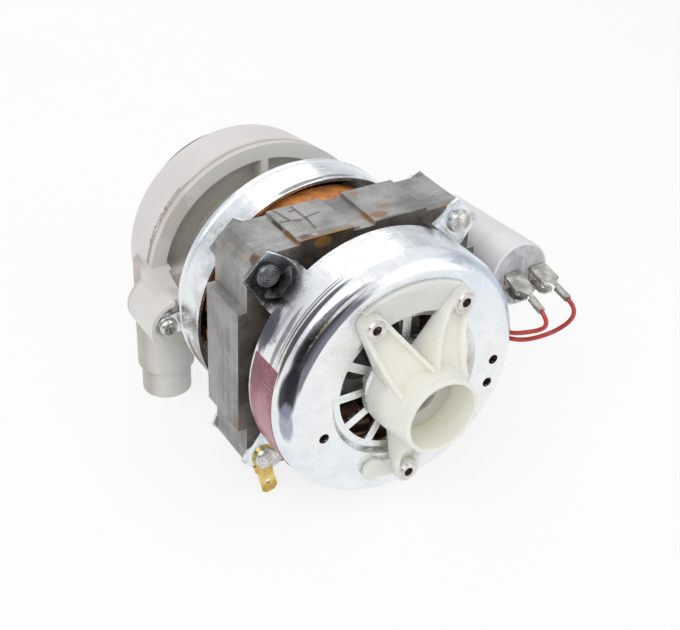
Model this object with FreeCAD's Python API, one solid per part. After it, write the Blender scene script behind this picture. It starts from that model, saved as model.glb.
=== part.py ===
import FreeCAD, Part
import math
import os

# Wash pump of a dishwasher: a two-pole capacitor motor with a moulded pump casing on its back.
# Lengths are in millimetres and angles in degrees.
# The shaft lies along Y, the inlet looks along +Y and the outlet points straight down.
# Pieces are drawn from the middle of the stator stack. At the end they are moved along Y,
# so that the origin is the centre of the inlet's mouth.

# Stator stack
stack_length = 24.0
stack_half = 47.0
slab_rise = 3.5
slab_half_width = 25.5
block_rise = 1.5
block_near = 4.5
block_far = 26.5
corner_cut = 5.0
yoke = 9.5
slot_depth = 12.1
slot_count = 24
slot_mouth = 2.2
slot_neck = 1.2
slot_shoulder = 1.6
slot_inner_width = 3.6
slot_outer_width = 5.6
slot_crown = 1.2
slot_lining = 0.35

# Windings
coil_gap = 1.6
coil_reach = 14.0
coil_corner = 4.0
coil_round = 0.8
coil_crest = 1.2
coil_half_span = 84.0
coil_air = 0.6
main_coil_below = 4.6
main_coil_above = 3.0
start_coil_rise = 1.5
jumper_width = 2.5
jumper_inset = 1.5
jumper_lift = 2.0
jumper_lap = 4.0

# Rotor and shaft
air_gap = 0.35
rotor_skin = 0.8
shaft_radius = 4.0
bush_clearance = 0.03
cage_bars = 22
cage_bar_depth = 6.0
cage_bar_width = 2.4
end_ring_length = 5.0
end_ring_width = 9.0
fin_count = 8
fin_length = 5.0
fin_depth = 5.5
fin_inset = 1.5
fin_thickness = 2.0
shaft_front_stub = 1.6
shaft_chamfer = 0.6
shaft_tip_radius = 3.0
shaft_tip_inset = 1.5

# Pressed end shields
sheet = 1.2
rim_gap = 8.0
front_depth = 31.8
shoulder_round = 8.2
shoulder_depth = 7.8
face_width = 11.8
dish_depth = 2.2
dish_slope = 1.7
hub_foot = 15.8
hub_top = 13.0
hub_height = 5.2
hub_hole = 6.2
rear_depth = 28.0
rear_corner = 3.0
bead_inset = 5.0
bead_width = 1.6
bead_depth = 0.5
vent_count = 12
vent_outer_margin = 2.5
vent_inner_margin = 1.2
vent_spoke = 3.5
drain_hole_radius = 2.0
# How far inside the shoulder each small hole is, and at what angle.
drain_holes = [(6.5, 201.1), (2.75, 355.1), (2.2, 340.6)]

# Ears and tie bolts
bolt_inset = 6.75
bolt_radius = 2.5
bolt_clearance = 0.25
bolt_head_radius = 4.6
bolt_head_height = 2.8
bolt_head_flat = 1.4
ear_sheet = 1.4
ear_margin = 6.1
ear_outer_half = 6.75
ear_inner_half = 9.7
ear_tip_run = 3.0
ear_tip_spread = 0.9
ear_bulge_radius = 8.5
ear_bulge_tip = 2.5
ear_bulge_depth = 10.0
ear_bulge_inset = 3.0
ear_bulge_air = 0.5
ear_bulge_lean = 1.6
nut_across_flats = 8.0
nut_height = 4.0
bolt_overhang = 1.5

# Bearings
bush_sphere = 8.0
bush_length = 8.8
retainer_sheet = 0.8
retainer_radius = 16.4
retainer_flat = 5.8
retainer_grip = 3.6
washer_radius = 6.4
washer_thickness = 0.8
washer_play = 0.1
ring_groove = 0.6
ring_radius = 5.6
ring_thickness = 0.8

# Tail spider
spider_feet = [60.0, 120.0, 270.0]
foot_inset = 5.45
foot_boss = 4.6
foot_thickness = 5.9
sleeve_length = 13.7
sleeve_tip_radius = 14.8
sleeve_base_radius = 16.6
sleeve_bore = 13.3
sleeve_floor_rise = 9.2
sleeve_floor_thickness = 2.4
sleeve_floor_hole = 7.0
sleeve_air = 1.2
sleeve_flare = 0.6
skirt_wall = 1.9
leg_root = 10.0
leg_below_tip = 5.7
leg_sag = 0.32
leg_rib = 1.5
leg_rib_height = 2.5
leg_air = 0.8
band_inner_margin = 0.1
band_outer_margin = 0.3
band_thickness = 2.2
lug_angle = 249.7
lug_inset = 5.95
lug_radius = 4.4
lug_thickness = 2.6
lug_link_half = 3.4
eyelet_flange = 3.65
eyelet_shank = 2.3
eyelet_hole = 1.8
eyelet_sheet = 0.6
eyelet_round = 0.4

# Earth terminal and label
tab_sheet = 0.8
tab_width = 6.3
tab_length = 17.6
tab_shoulder = 7.6
tab_shoulder_at = 5.4
tab_shoulder_run = 0.6
tab_shoulder_height = 3.0
tab_foot = 4.9
tab_lean = 14.0
tab_sidestep = -1.6
tab_hole = 1.1
tab_hole_from_tip = 5.4
tab_chamfer = 1.5
label_film = 0.15
label_from = 162.0
label_to = 212.0
label_margin = 1.0

# Pump casing
casing_x = -2.5
casing_z = -0.8
wall = 2.4
flange_inset = 0.9
flange_width = 6.3
casing_gap = 18.5
flange_depth = 4.0
seam_step = 0.5
recess_depth = 7.5
cap_depth = 19.5
cap_draft = 2.1
cap_rounding = 5.0
floor_ring_radius = 30.0
floor_ring_width = 2.0
floor_ring_height = 1.2
inlet_length = 15.0
inlet_radius = 27.0
inlet_wall = 2.6
hub_socket = 19.5
hub_socket_depth = 10.5
hub_cone = 5.0
seal_tube = 13.4
seal_bore = 11.0
rib_angles = [2.0, 92.0, 182.0, 272.0]
rib_thickness = 3.0
rib_round = 9.0

# Outlet
duct_inset = 6.6
duct_set_back = 8.5
duct_radius = 11.7
duct_top = 3.0
duct_end = -45.0
duct_wall = 2.3
spigot_radius = 10.15
spigot_end = -58.0
spigot_bore = 8.2

# Screw bosses and the hood round the left one
boss_gap = 4.45
boss_angles = [188.7, 8.7]
boss_radius = 5.2
boss_arm = 9.0
boss_arm_half = 3.0
tab_half_width = 4.5
tab_margin = 3.65
tab_corner = 2.0
screw_radius = 2.0
screw_head_radius = 3.9
screw_head_height = 2.6
screw_length = 14.0
screw_recess = 1.4
screw_slot_half = 0.45
hood_shift_x = 4.8
hood_shift_z = -1.2
hood_radius = 11.6
hood_wall = 1.7
hood_lap = 1.4
hood_skirt = 5.5
hood_side = 4.1
hood_air = 0.5
ledge_rise = 7.3
ledge_half_width = 5.5
ledge_start = 7.4
ledge_drop = 1.2

# Impeller and shaft seal
impeller_radius = 30.0
impeller_plate = 1.6
impeller_hub = 7.5
blade_count = 6
blade_height = 5.2
blade_thickness = 1.6
blade_sweep = 62.0
blade_bow = 24.0
blade_margin = 0.5
impeller_air = 1.0
seat_inner = 5.4
seat_length = 4.5
seal_head_radius = 9.3
seal_head_length = 5.5
seal_head_step = 1.6
seal_gap = 0.05
slinger_radius = 9.5
slinger_collar = 2.4
slinger_air = 0.8
slinger_thickness = 1.8

# Inlet collar
collar_wall = 3.4
collar_lip = 35.5
collar_lip_past_mouth = 4.0
collar_length = 13.0
collar_bend = 7.0
collar_lip_thickness = 2.4

# Capacitor on its bracket
can_from_boss_x = 14.0
can_from_boss_z = 4.0
can_rise = 4.2
can_radius = 13.2
can_length = 53.0
can_rim = 0.9
can_drop = 7.0
lid_thickness = 2.5
lid_rib_x = -0.3
lid_rib_height = 2.0
lid_rib_low = 1.6
lid_rib_high = 8.6
lid_rib_half = 0.5
stud_radius = 4.0
stud_length = 9.0
stud_nut_flats = 13.0
stud_nut_height = 5.0
bracket_sheet = 1.5
bracket_half_width = 6.5
bracket_pad = 9.5
bracket_air = 0.3
bracket_foot = 5.0

# Terminals on the lid, and the receptacles on their upper blades
terminal_x = [-4.6, 7.5]
upper_droops = [20.0, 14.0]
terminal_z = -1.1
terminal_half_height = 3.2
blade_sheet = 0.8
blade_width = 6.3
blade_length = 9.0
blade_chamfer = 1.4
lower_droop = 10.0
blade_hole = 0.9
blade_hole_from_tip = 3.4
receptacle_start = 2.0
receptacle_body = 7.6
receptacle_sheet = 0.4
receptacle_roll = 1.15
receptacle_curl = 28.0
receptacle_neck = 4.6
receptacle_neck_half = 1.0
crimp_length = 6.8
crimp_radius = 1.6
crimp_rise = 0.3

# Leads from the capacitor to the windings. Each point is a corner of the route.
lead_radius = 0.9
lead_entry_y = -15.7
lead_in_crimp = 2.5
lead_past_crimp = 2.0
lead_into_coil = 0.1
lead_1_points = [(64.2, -43.4, 3.6), (63.6, -40.8, 0.2), (60.6, -37.8, -1.6), (56.9, -34.6, -3.0),
                 (55.0, -29.4, -4.4), (53.5, -23.6, -5.4), (50.0, -17.9, -6.4), (45.2, -16.0, -6.2)]
lead_2_points = [(77.4, -43.6, 5.6), (76.6, -42.6, 1.0), (72.6, -40.0, -3.6), (66.2, -37.6, -6.0),
                 (60.2, -35.6, -6.6), (56.4, -31.4, -7.0), (54.2, -25.4, -8.0), (51.4, -19.2, -9.4),
                 (46.2, -16.4, -9.6)]


def radial(radius, angle):
    # The X and Z of a point at this radius and angle about the shaft.
    return radius * math.cos(math.radians(angle)), radius * math.sin(math.radians(angle))


# How far pieces that become one solid reach into each other, and how far a cutting shape passes a face.
lap = 0.5
past = 1.0
tiny = 1e-6

# Places that follow from the sizes above
stack_back = stack_length / 2
stack_front = -stack_back
slab_reach = stack_half + slab_rise
block_reach = stack_half + block_rise
corner_start = stack_half - corner_cut
slot_bottom = stack_half - yoke
stator_bore = slot_bottom - slot_depth
main_coil_inner = slot_bottom - main_coil_below
main_coil_outer = slot_bottom + main_coil_above
start_coil_inner = stator_bore + start_coil_rise
start_coil_outer = main_coil_inner - coil_air
rotor_radius = stator_bore - air_gap
cage_outer = rotor_radius - rotor_skin
end_ring_inner = cage_outer - end_ring_width
drum_radius = slab_reach
front_face = stack_back + front_depth
front_wall_end = front_face - shoulder_depth
front_floor = front_face - dish_depth
rear_face = stack_back + rear_depth
bead_place = rear_face - bead_inset
shoulder_inner = drum_radius - shoulder_round
dish_edge = shoulder_inner - face_width
vent_outer = dish_edge - dish_slope - vent_outer_margin
vent_inner = hub_foot + vent_inner_margin
front_rim = stack_front - rim_gap
rear_rim = stack_back + rim_gap
ear_front = stack_front - ear_sheet
ear_back = stack_back + ear_sheet
bolt_diagonal = (stack_half - bolt_inset) * math.sqrt(2)
ear_reach = bolt_diagonal + ear_margin
bush_end_radius = math.sqrt(bush_sphere ** 2 - (bush_length / 2) ** 2)
front_bush_end = -(front_floor + hub_height - sheet)
rear_bush_end = rear_face + hub_height - sheet
foot_place = shoulder_inner - foot_inset
foot_top = front_face + foot_thickness
lug_place = shoulder_inner - lug_inset
band_inner = dish_edge + band_inner_margin
band_outer = shoulder_inner - band_outer_margin
sleeve_floor = front_face + sleeve_floor_rise
sleeve_tip = sleeve_floor + sleeve_length
leg_top = sleeve_tip - leg_below_tip
flange_front = rear_face + casing_gap
flange_radius = drum_radius - flange_inset
recess_radius = flange_radius - flange_width
seam = flange_front + flange_depth
seam_radius = flange_radius - seam_step
floor_front = flange_front + recess_depth
floor_back = floor_front + wall
cap_end = seam + cap_depth
cap_end_radius = seam_radius - cap_draft
cap_inner_rounding = cap_rounding - wall / 2
chamber_radius = seam_radius - wall
chamber_end = cap_end - wall
chamber_end_radius = cap_end_radius - wall
inlet_mouth = cap_end + inlet_length
duct_x = duct_inset - flange_radius
duct_y = flange_front + duct_set_back
blade_back = chamber_end - impeller_air
blade_front = blade_back - blade_height
plate_front = blade_front - impeller_plate
seat_back = plate_front - seal_head_length
seat_front = seat_back - seat_length
boss_place = drum_radius + boss_gap
tab_reach = boss_place + tab_margin
left_x, left_z = radial(boss_place, boss_angles[0])
right_x, right_z = radial(boss_place, boss_angles[1])
hood_x = left_x + hood_shift_x
hood_z = left_z + hood_shift_z
hood_front = rear_face - hood_lap
can_x = right_x + can_from_boss_x
can_z = right_z + can_from_boss_z
can_front = rear_face - can_drop - can_length
nut_corner = stud_nut_flats / 2 / math.cos(math.pi / 6)


def vec(x, y, z):
    return FreeCAD.Vector(x, y, z)


def rod(radius, y_low, y_high, x=0.0, z=0.0):
    return Part.makeCylinder(radius, y_high - y_low, vec(x, y_low, z), vec(0, 1, 0))


def pipe(outer, inner, y_low, y_high, x=0.0, z=0.0):
    return rod(outer, y_low, y_high, x, z).cut(rod(inner, y_low, y_high, x, z))


def block(x_low, x_high, y_low, y_high, z_low, z_high):
    return Part.makeBox(x_high - x_low, y_high - y_low, z_high - z_low, vec(x_low, y_low, z_low))


def joined(shapes):
    return shapes[0].multiFuse(shapes[1:]).removeSplitter()


def moved(shape, x, y, z):
    copy = shape.copy()
    copy.translate(vec(x, y, z))
    return copy


def turned(shape, angle):
    # Turns about the shaft, from +X towards +Z.
    copy = shape.copy()
    copy.rotate(vec(0, 0, 0), vec(0, -1, 0), angle)
    return copy


def chain(steps, lift):
    # A step is a corner, or a pair of points for an arc: one on the arc, then its end.
    here = lift(*steps[0])
    edges = []
    for step in steps[1:]:
        if isinstance(step[0], tuple):
            end = lift(*step[1])
            edges.append(Part.Arc(here, lift(*step[0]), end).toShape())
        else:
            end = lift(*step)
            edges.append(Part.makeLine(here, end))
        here = end
    return edges, here


def face_of(steps, lift):
    edges, here = chain(steps, lift)
    start = lift(*steps[0])
    if here.distanceToPoint(start) > tiny:
        edges.append(Part.makeLine(here, start))
    return Part.Face(Part.Wire(edges))


def in_profile(radius, y):
    return vec(radius, y, 0)


def swept(steps, angle=360.0, x=0.0, z=0.0):
    # Turns an outline of (radius, y) about the shaft's line, or about one beside it.
    solid = face_of(steps, in_profile).revolve(vec(0, 0, 0), vec(0, -1, 0), angle)
    return moved(solid, x, 0, z)


def pressed(steps, thickness):
    # Sheet metal: an open outline of (radius, y), thickened to one side and turned about the shaft.
    edges, _ = chain(steps, in_profile)
    band = Part.Wire(edges).makeOffset2D(thickness, 2, True, True, True)
    return band.revolve(vec(0, 0, 0), vec(0, -1, 0), 360)


def plate(steps, y_low, y_high):
    # Stretches an outline of (x, z) along Y.
    face = face_of(steps, lambda x, z: vec(x, y_low, z))
    return face.extrude(vec(0, y_high - y_low, 0))


def polygon_ring(count, across_flats):
    reach = across_flats / 2 / math.cos(math.pi / count)
    return [radial(reach, 360.0 / count * (k + 0.5)) for k in range(count)]


def mirrored_front(shape):
    return shape.mirror(vec(0, 0, 0), vec(0, 1, 0))


def corner_angles():
    return [45.0, 135.0, 225.0, 315.0]


def diagonal_point(angle):
    return radial(bolt_diagonal, angle)


def slot_outline(inset):
    # One stator slot about the X axis, drawn smaller by the inset for what lies inside it.
    neck = stator_bore + slot_neck
    shoulder = neck + slot_shoulder
    inner = slot_inner_width / 2 - inset
    outer = slot_outer_width / 2 - inset
    bottom = slot_bottom - inset
    return neck, shoulder, inner, outer, bottom


def make_stator_core():
    quarter = [(slab_reach, slab_half_width), (stack_half, slab_half_width), (stack_half, corner_start),
               (corner_start, stack_half), (block_far, stack_half), (block_far, block_reach),
               (block_near, block_reach), (block_near, stack_half)]
    upper = quarter + [(-x, z) for x, z in reversed(quarter)]
    lower = [(-x, -z) for x, z in upper]
    core = plate(upper + lower, stack_front, stack_back)
    neck, shoulder, inner, outer, bottom = slot_outline(0.0)
    mouth = slot_mouth / 2
    crown = bottom - slot_crown
    low, high = stack_front - past, stack_back + past
    slot = plate([(stator_bore - past, -mouth), (neck, -mouth), (shoulder, -inner), (crown, -outer),
                  ((bottom, 0.0), (crown, outer)), (shoulder, inner), (neck, mouth),
                  (stator_bore - past, mouth)], low, high)
    tools = [turned(slot, 360.0 / slot_count * (k + 0.5)) for k in range(slot_count)]
    tools.append(rod(stator_bore, low, high))
    for angle in corner_angles():
        x, z = diagonal_point(angle)
        tools.append(rod(bolt_radius + bolt_clearance, low, high, x, z))
    return core.cut(tools)


def coil_side(inner_reach, outer_reach):
    # One filled slot, with the part that leaves the stack kept to the coil's own radii.
    _, shoulder, inner, outer, bottom = slot_outline(slot_lining)
    floor = shoulder + slot_lining
    crown = bottom - slot_crown
    filled = plate([(floor, -inner), (crown, -outer), (crown, outer), (floor, inner)],
                   stack_front, stack_back)
    low = max(floor, inner_reach)
    high = min(crown, outer_reach)
    reach = stack_back + coil_gap + past
    return filled.fuse(block(low, high, -reach, reach, -inner, inner))


def coil_head(inner, outer, from_angle, to_angle):
    # The bundle of wires that crosses from one side of a pole to the other, with rounded edges.
    start = stack_back + coil_gap
    end = start + coil_reach
    middle = (inner + outer) / 2
    crest = coil_crest / 2
    ring = swept([(inner, start), (outer, start), (outer, end - coil_corner),
                  ((outer - coil_round, end - coil_round), (middle + crest, end)), (middle - crest, end),
                  ((inner + coil_round, end - coil_round), (inner, end - coil_corner)), (inner, start)],
                 to_angle - from_angle)
    return turned(ring, from_angle)


def make_winding(inner, outer, pole_angles, side_angles):
    shapes = []
    for pole in pole_angles:
        head = coil_head(inner, outer, pole - coil_half_span, pole + coil_half_span)
        shapes += [head, mirrored_front(head)]
    for angle in side_angles:
        shapes.append(turned(coil_side(inner, outer), angle))
    # The wires that join the two poles run round the back of the gap between their heads.
    start = stack_back + coil_gap + jumper_lift
    near = inner + jumper_inset
    far = near + jumper_width
    for pole in pole_angles:
        bridge = swept([(near, start), (far, start), (far, start + jumper_width), (near, start + jumper_width)],
                       180.0 - coil_half_span * 2 + jumper_lap * 2)
        shapes.append(turned(bridge, pole + coil_half_span - jumper_lap))
    return joined(shapes)


def slot_angles(numbers):
    return [360.0 / slot_count * (k + 0.5) for k in numbers]


def make_main_winding():
    sides = slot_angles([0, 1, 2, 3, 8, 9, 10, 11, 12, 13, 14, 15, 20, 21, 22, 23])
    return make_winding(main_coil_inner, main_coil_outer, [90.0, 270.0], sides)


def make_start_winding():
    sides = slot_angles([4, 5, 6, 7, 16, 17, 18, 19])
    return make_winding(start_coil_inner, start_coil_outer, [0.0, 180.0], sides)


def cage_bar(y_low, y_high):
    half = cage_bar_width / 2
    bar = block(cage_outer - cage_bar_depth, cage_outer, y_low, y_high, -half, half)
    return [turned(bar, 360.0 / cage_bars * k) for k in range(cage_bars)]


def make_rotor_core():
    core = pipe(rotor_radius, shaft_radius, stack_front, stack_back)
    return core.cut(cage_bar(stack_front, stack_back))


def make_rotor_cage():
    ring_end = stack_back + end_ring_length
    ring = pipe(cage_outer, end_ring_inner, stack_back, ring_end)
    fin_outer = cage_outer - fin_inset
    fin = block(fin_outer - fin_depth, fin_outer, ring_end - lap, ring_end + fin_length,
                -fin_thickness / 2, fin_thickness / 2)
    end = joined([ring] + [turned(fin, 360.0 / fin_count * k) for k in range(fin_count)])
    return joined([end, mirrored_front(end)] + cage_bar(stack_front - lap, stack_back + lap))


def washer_places():
    # The outer face of each thrust washer, just inside its bush.
    front = front_bush_end + bush_length + washer_play
    rear = rear_bush_end - bush_length - washer_play
    return front, rear


def ring_places():
    front, rear = washer_places()
    return front + washer_thickness, rear - washer_thickness - ring_thickness


def make_shaft():
    front_end = -(front_floor + hub_height + shaft_front_stub)
    rear_end = blade_back - shaft_tip_inset
    shaft = swept([(0, front_end), (shaft_radius - shaft_chamfer, front_end),
                   (shaft_radius, front_end + shaft_chamfer), (shaft_radius, plate_front),
                   (shaft_tip_radius, plate_front), (shaft_tip_radius, rear_end), (0, rear_end)])
    grooves = [pipe(shaft_radius + past, shaft_radius - ring_groove, y, y + ring_thickness)
               for y in ring_places()]
    return shaft.cut(grooves)


def make_thrust_washers():
    front, rear = washer_places()
    return [pipe(washer_radius, shaft_radius, front, front + washer_thickness),
            pipe(washer_radius, shaft_radius, rear - washer_thickness, rear)]


def make_retaining_rings():
    rings = []
    for y in ring_places():
        ring = pipe(ring_radius, shaft_radius - ring_groove, y, y + ring_thickness)
        opening = block(-ring_radius, ring_radius, y, y + ring_thickness, 0, ring_radius)
        mouth = shaft_radius - ring_groove * 2
        rings.append(ring.cut(opening.common(block(-mouth, mouth, y, y + ring_thickness, 0, ring_radius))))
    return rings


def make_bush(end):
    # A bush with a ball-shaped outside, from its outer end back towards the rotor.
    inward = 1.0 if end < 0 else -1.0
    near = end + inward * bush_length
    middle = (end + near) / 2
    bore = shaft_radius + bush_clearance
    return swept([(bore, end), (bush_end_radius, end), ((bush_sphere, middle), (bush_end_radius, near)),
                  (bore, near)])


def make_bush_retainer(end, floor):
    # A dished spring plate that holds the bush in its pocket. The floor is the sheet's inner face.
    inward = 1.0 if end < 0 else -1.0
    middle = end + inward * bush_length / 2
    high = middle + inward * retainer_grip
    rim = math.sqrt(bush_sphere ** 2 - retainer_grip ** 2) + bush_clearance
    flat = retainer_radius - retainer_flat
    thick = inward * retainer_sheet
    return swept([(retainer_radius, floor), (retainer_radius, floor + thick), (flat, floor + thick),
                  (rim + retainer_sheet, high + thick), (rim, high + thick), (rim, high),
                  (rim + retainer_sheet / 2, high), (flat + retainer_sheet / 2, floor)])


def ear():
    # One ear: a flat plate on the stack's front corner, and the strip of wall that carries it.
    root = drum_radius - sheet
    tip_start, tip_half = ear_reach - ear_tip_run, ear_outer_half + ear_tip_spread
    flat = plate([(root, -ear_inner_half), (tip_start, -tip_half), (ear_reach, -ear_outer_half),
                  (ear_reach, ear_outer_half), (tip_start, tip_half), (root, ear_inner_half)],
                 ear_front, stack_front)
    low = front_rim - past
    band = pipe(drum_radius, drum_radius - sheet, low, stack_front)
    strip = band.common(block(0, ear_reach, low, stack_front, -ear_inner_half, ear_inner_half))
    return flat.fuse(strip)


def ear_bulge(shrink):
    # The pressed swelling where an ear meets the wall, cut to a slant beside the bolt's head.
    # The shrunk one hollows it out.
    cone = Part.makeCone(ear_bulge_radius - shrink, ear_bulge_tip, ear_bulge_depth - shrink,
                         vec(drum_radius - ear_bulge_inset, stack_front - shrink, 0), vec(0, -1, 0))
    edge = bolt_diagonal - tab_foot - ear_bulge_air - shrink
    low = stack_front - ear_bulge_depth
    side = face_of([(0, stack_front), (edge, stack_front), (edge, ear_front), (edge - ear_bulge_lean, low),
                    (0, low)], lambda x, y: vec(x, y, -ear_bulge_radius))
    return cone.common(side.extrude(vec(0, 0, ear_bulge_radius * 2)))


def with_ears(drum):
    pieces = [drum]
    hollows = [rod(drum_radius - sheet, stack_front - ear_bulge_depth - past, stack_front + past)]
    for angle in corner_angles():
        pieces.append(turned(ear(), angle))
        pieces.append(turned(ear_bulge(0.0), angle))
        hollows.append(turned(ear_bulge(sheet), angle))
        x, z = diagonal_point(angle)
        hollows.append(rod(bolt_radius + bolt_clearance, ear_front - past, stack_front + past, x, z))
    return joined(pieces).cut(hollows)


def vent_tools(y_low, y_high):
    ring = pipe(vent_outer, vent_inner, y_low, y_high)
    half = vent_spoke / 2
    spokes = [turned(block(0, vent_outer + past, y_low, y_high, -half, half), 360.0 / vent_count * k)
              for k in range(vent_count)]
    return ring.cut(spokes)


def make_front_end_shield():
    slant = math.sqrt(0.5)
    middle = (shoulder_inner + shoulder_round * slant, -(front_wall_end + shoulder_depth * slant))
    drum = pressed([(drum_radius, front_rim), (drum_radius, -front_wall_end),
                    (middle, (shoulder_inner, -front_face)), (dish_edge, -front_face),
                    (dish_edge - dish_slope, -front_floor), (hub_foot, -front_floor),
                    (hub_top, -(front_floor + hub_height)), (hub_hole, -(front_floor + hub_height))], sheet)
    shield = with_ears(drum)
    cut_low = -(front_face + past)
    cut_high = -(front_floor - sheet - past)
    holes = [vent_tools(cut_low, cut_high)]
    for inset, angle in drain_holes:
        x, z = radial(shoulder_inner - inset, angle)
        holes.append(rod(drain_hole_radius, cut_low, cut_high, x, z))
    for angle in spider_feet:
        x, z = radial(foot_place, angle)
        holes.append(rod(eyelet_shank, cut_low, cut_high, x, z))
    return shield.cut(holes)


def make_rear_end_shield():
    slant = rear_corner * (1 - math.sqrt(0.5))
    half_bead = bead_width / 2
    # Drawn on the front side, as the other shield is, then mirrored to the back.
    face, bead, edge = -rear_face, -bead_place, drum_radius - rear_corner
    drum = pressed([(drum_radius, -rear_rim), (drum_radius, bead + half_bead),
                    (drum_radius - bead_depth, bead), (drum_radius, bead - half_bead),
                    (drum_radius, face + rear_corner), ((drum_radius - slant, face + slant), (edge, face)),
                    (hub_foot, face), (hub_top, face - hub_height), (hub_hole, face - hub_height)], sheet)
    shield = mirrored_front(with_ears(drum))
    root, corner, half = edge - past, tab_corner, tab_half_width
    lug = plate([(root, -half), (tab_reach - corner, -half), (tab_reach, corner - half),
                 (tab_reach, half - corner), (tab_reach - corner, half), (root, half)],
                rear_face - sheet, rear_face)
    shield = joined([shield] + [turned(lug, angle) for angle in boss_angles])
    holes = []
    for angle in boss_angles:
        x, z = radial(boss_place, angle)
        holes.append(rod(screw_radius + bolt_clearance, rear_face - sheet - past, rear_face + past, x, z))
    return shield.cut(holes)


def bolt_seat(angle):
    # The bolt at the lower left also holds the earth terminal, so its head stands that much higher.
    return ear_front - tab_sheet if angle == 225.0 else ear_front


def make_tie_bolts():
    bolts = []
    end = ear_back + nut_height + bolt_overhang
    for angle in corner_angles():
        seat = bolt_seat(angle)
        top = seat - bolt_head_height
        shoulder = (bolt_head_radius - bolt_head_height / 3, top + bolt_head_height / 3)
        bolt = swept([(0, top), (bolt_head_flat, top), (shoulder, (bolt_head_radius, seat)),
                      (bolt_radius, seat), (bolt_radius, end - shaft_chamfer),
                      (bolt_radius - shaft_chamfer, end), (0, end)])
        x, z = diagonal_point(angle)
        bolts.append(moved(bolt, x, 0, z))
    return bolts


def make_tie_nuts():
    nuts = []
    for angle in corner_angles():
        x, z = diagonal_point(angle)
        nut = plate(polygon_ring(6, nut_across_flats), ear_back, ear_back + nut_height)
        nut = nut.cut(rod(bolt_radius, ear_back, ear_back + nut_height))
        nuts.append(moved(nut, x, 0, z))
    return nuts


def make_earth_terminal():
    # Drawn hanging straight down from its bolt at the origin, then leaned and moved to the corner.
    back = ear_front
    front = back - tab_sheet
    tip = -tab_length
    low = -tab_shoulder_at
    half, wide = tab_width / 2, tab_shoulder / 2
    right = [(half - tab_chamfer, tip), (half, tip + tab_chamfer), (half, low - tab_shoulder_run),
             (wide, low), (wide, low + tab_shoulder_height)]
    left = [(-x, z) for x, z in reversed(right)]
    blade = moved(plate(right + left, front, back), tab_sidestep, 0, 0)
    tab = joined([blade, rod(tab_foot, front, back)])
    tab = tab.cut([rod(bolt_radius, front, back),
                   rod(tab_hole, front, back, tab_sidestep, tip + tab_hole_from_tip)])
    x, z = diagonal_point(225.0)
    return moved(turned(tab, tab_lean), x, 0, z)


def make_rating_label():
    low, high = -front_wall_end, front_rim - label_margin
    film = swept([(drum_radius, low), (drum_radius + label_film, low), (drum_radius + label_film, high),
                  (drum_radius, high)], label_to - label_from)
    return turned(film, label_from)


def tangent_outline(small, far, big):
    # The four points where straight lines touch a circle on the axis and a smaller one further out.
    lean = math.acos((big - small) / far)
    near = (big * math.cos(lean), big * math.sin(lean))
    tip = (far + small * math.cos(lean), small * math.sin(lean))
    return near, tip


def leg_body(inset, low, high):
    near, tip = tangent_outline(foot_boss - inset, foot_place, leg_root - inset)
    end = (foot_place + foot_boss - inset, 0.0)
    return plate([(near[0], -near[1]), (tip[0], -tip[1]), (end, (tip[0], tip[1])), (near[0], near[1]),
                  (0.0, near[1]), (0.0, -near[1])], low, high)


def leg_side(lift, width):
    # The leg seen from its side: foot on the shield, top edge climbing to the sleeve.
    foot_in = foot_place - foot_boss
    foot_out = foot_place + foot_boss + past
    under = front_face + leg_air
    top, tip = lift - foot_top, lift - leg_top
    middle = ((foot_in + sleeve_tip_radius) / 2, top + (tip - top) * leg_sag)
    steps = [(0.0, -under), (foot_in - leg_air, -under), (foot_in, -front_face), (foot_out, -front_face),
             (foot_out, top), (foot_in, top), (middle, (sleeve_tip_radius, tip)), (0.0, tip)]
    face = face_of(steps, lambda x, y: vec(x, y, -width))
    return face.extrude(vec(0, 0, width * 2))


def make_leg():
    low = -leg_top - past
    outer = leg_body(0.0, low, -front_face).common(leg_side(0.0, leg_root))
    pocket = leg_body(leg_rib, low, -front_face)
    above = pocket.cut(leg_side(leg_rib_height, leg_root))
    boss = rod(foot_boss, -foot_top, -front_face, foot_place)
    return outer.cut(above).fuse(boss)


def spider_strip(inner, outer, from_angle, to_angle):
    # A flat strip of the spider that lies on the shield's face.
    low = -front_face - band_thickness
    strip = swept([(inner, -front_face), (outer, -front_face), (outer, low), (inner, low)],
                  to_angle - from_angle)
    return turned(strip, from_angle)


def make_tail_spider():
    skirt = -front_face - sleeve_air
    sleeve = swept([(0, skirt), (sleeve_base_radius + sleeve_flare, skirt),
                    (sleeve_base_radius, -sleeve_floor), (sleeve_tip_radius, -sleeve_tip),
                    (0, -sleeve_tip)])
    shapes = [sleeve] + [turned(make_leg(), angle) for angle in spider_feet]
    shapes.append(spider_strip(band_inner, band_outer, spider_feet[0], spider_feet[1]))
    lug_x, lug_z = radial(lug_place, lug_angle)
    shapes.append(rod(lug_radius, -front_face - lug_thickness, -front_face, lug_x, lug_z))
    shapes.append(spider_strip(lug_place - lug_link_half, lug_place + lug_link_half,
                               lug_angle, spider_feet[2]))
    spider = joined(shapes)
    inner = sleeve_base_radius - skirt_wall
    roof = sleeve_floor_thickness - sleeve_floor
    cavity = swept([(0, past - front_face), (inner, past - front_face), (inner, roof), (0, roof)])
    holes = [cavity, rod(sleeve_bore, -sleeve_tip - past, -sleeve_floor),
             rod(sleeve_floor_hole, -sleeve_tip, -front_face)]
    for angle in spider_feet:
        x, z = radial(foot_place, angle)
        holes.append(rod(eyelet_shank, -foot_top - past, past - front_face, x, z))
    return spider.cut(holes)


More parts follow.
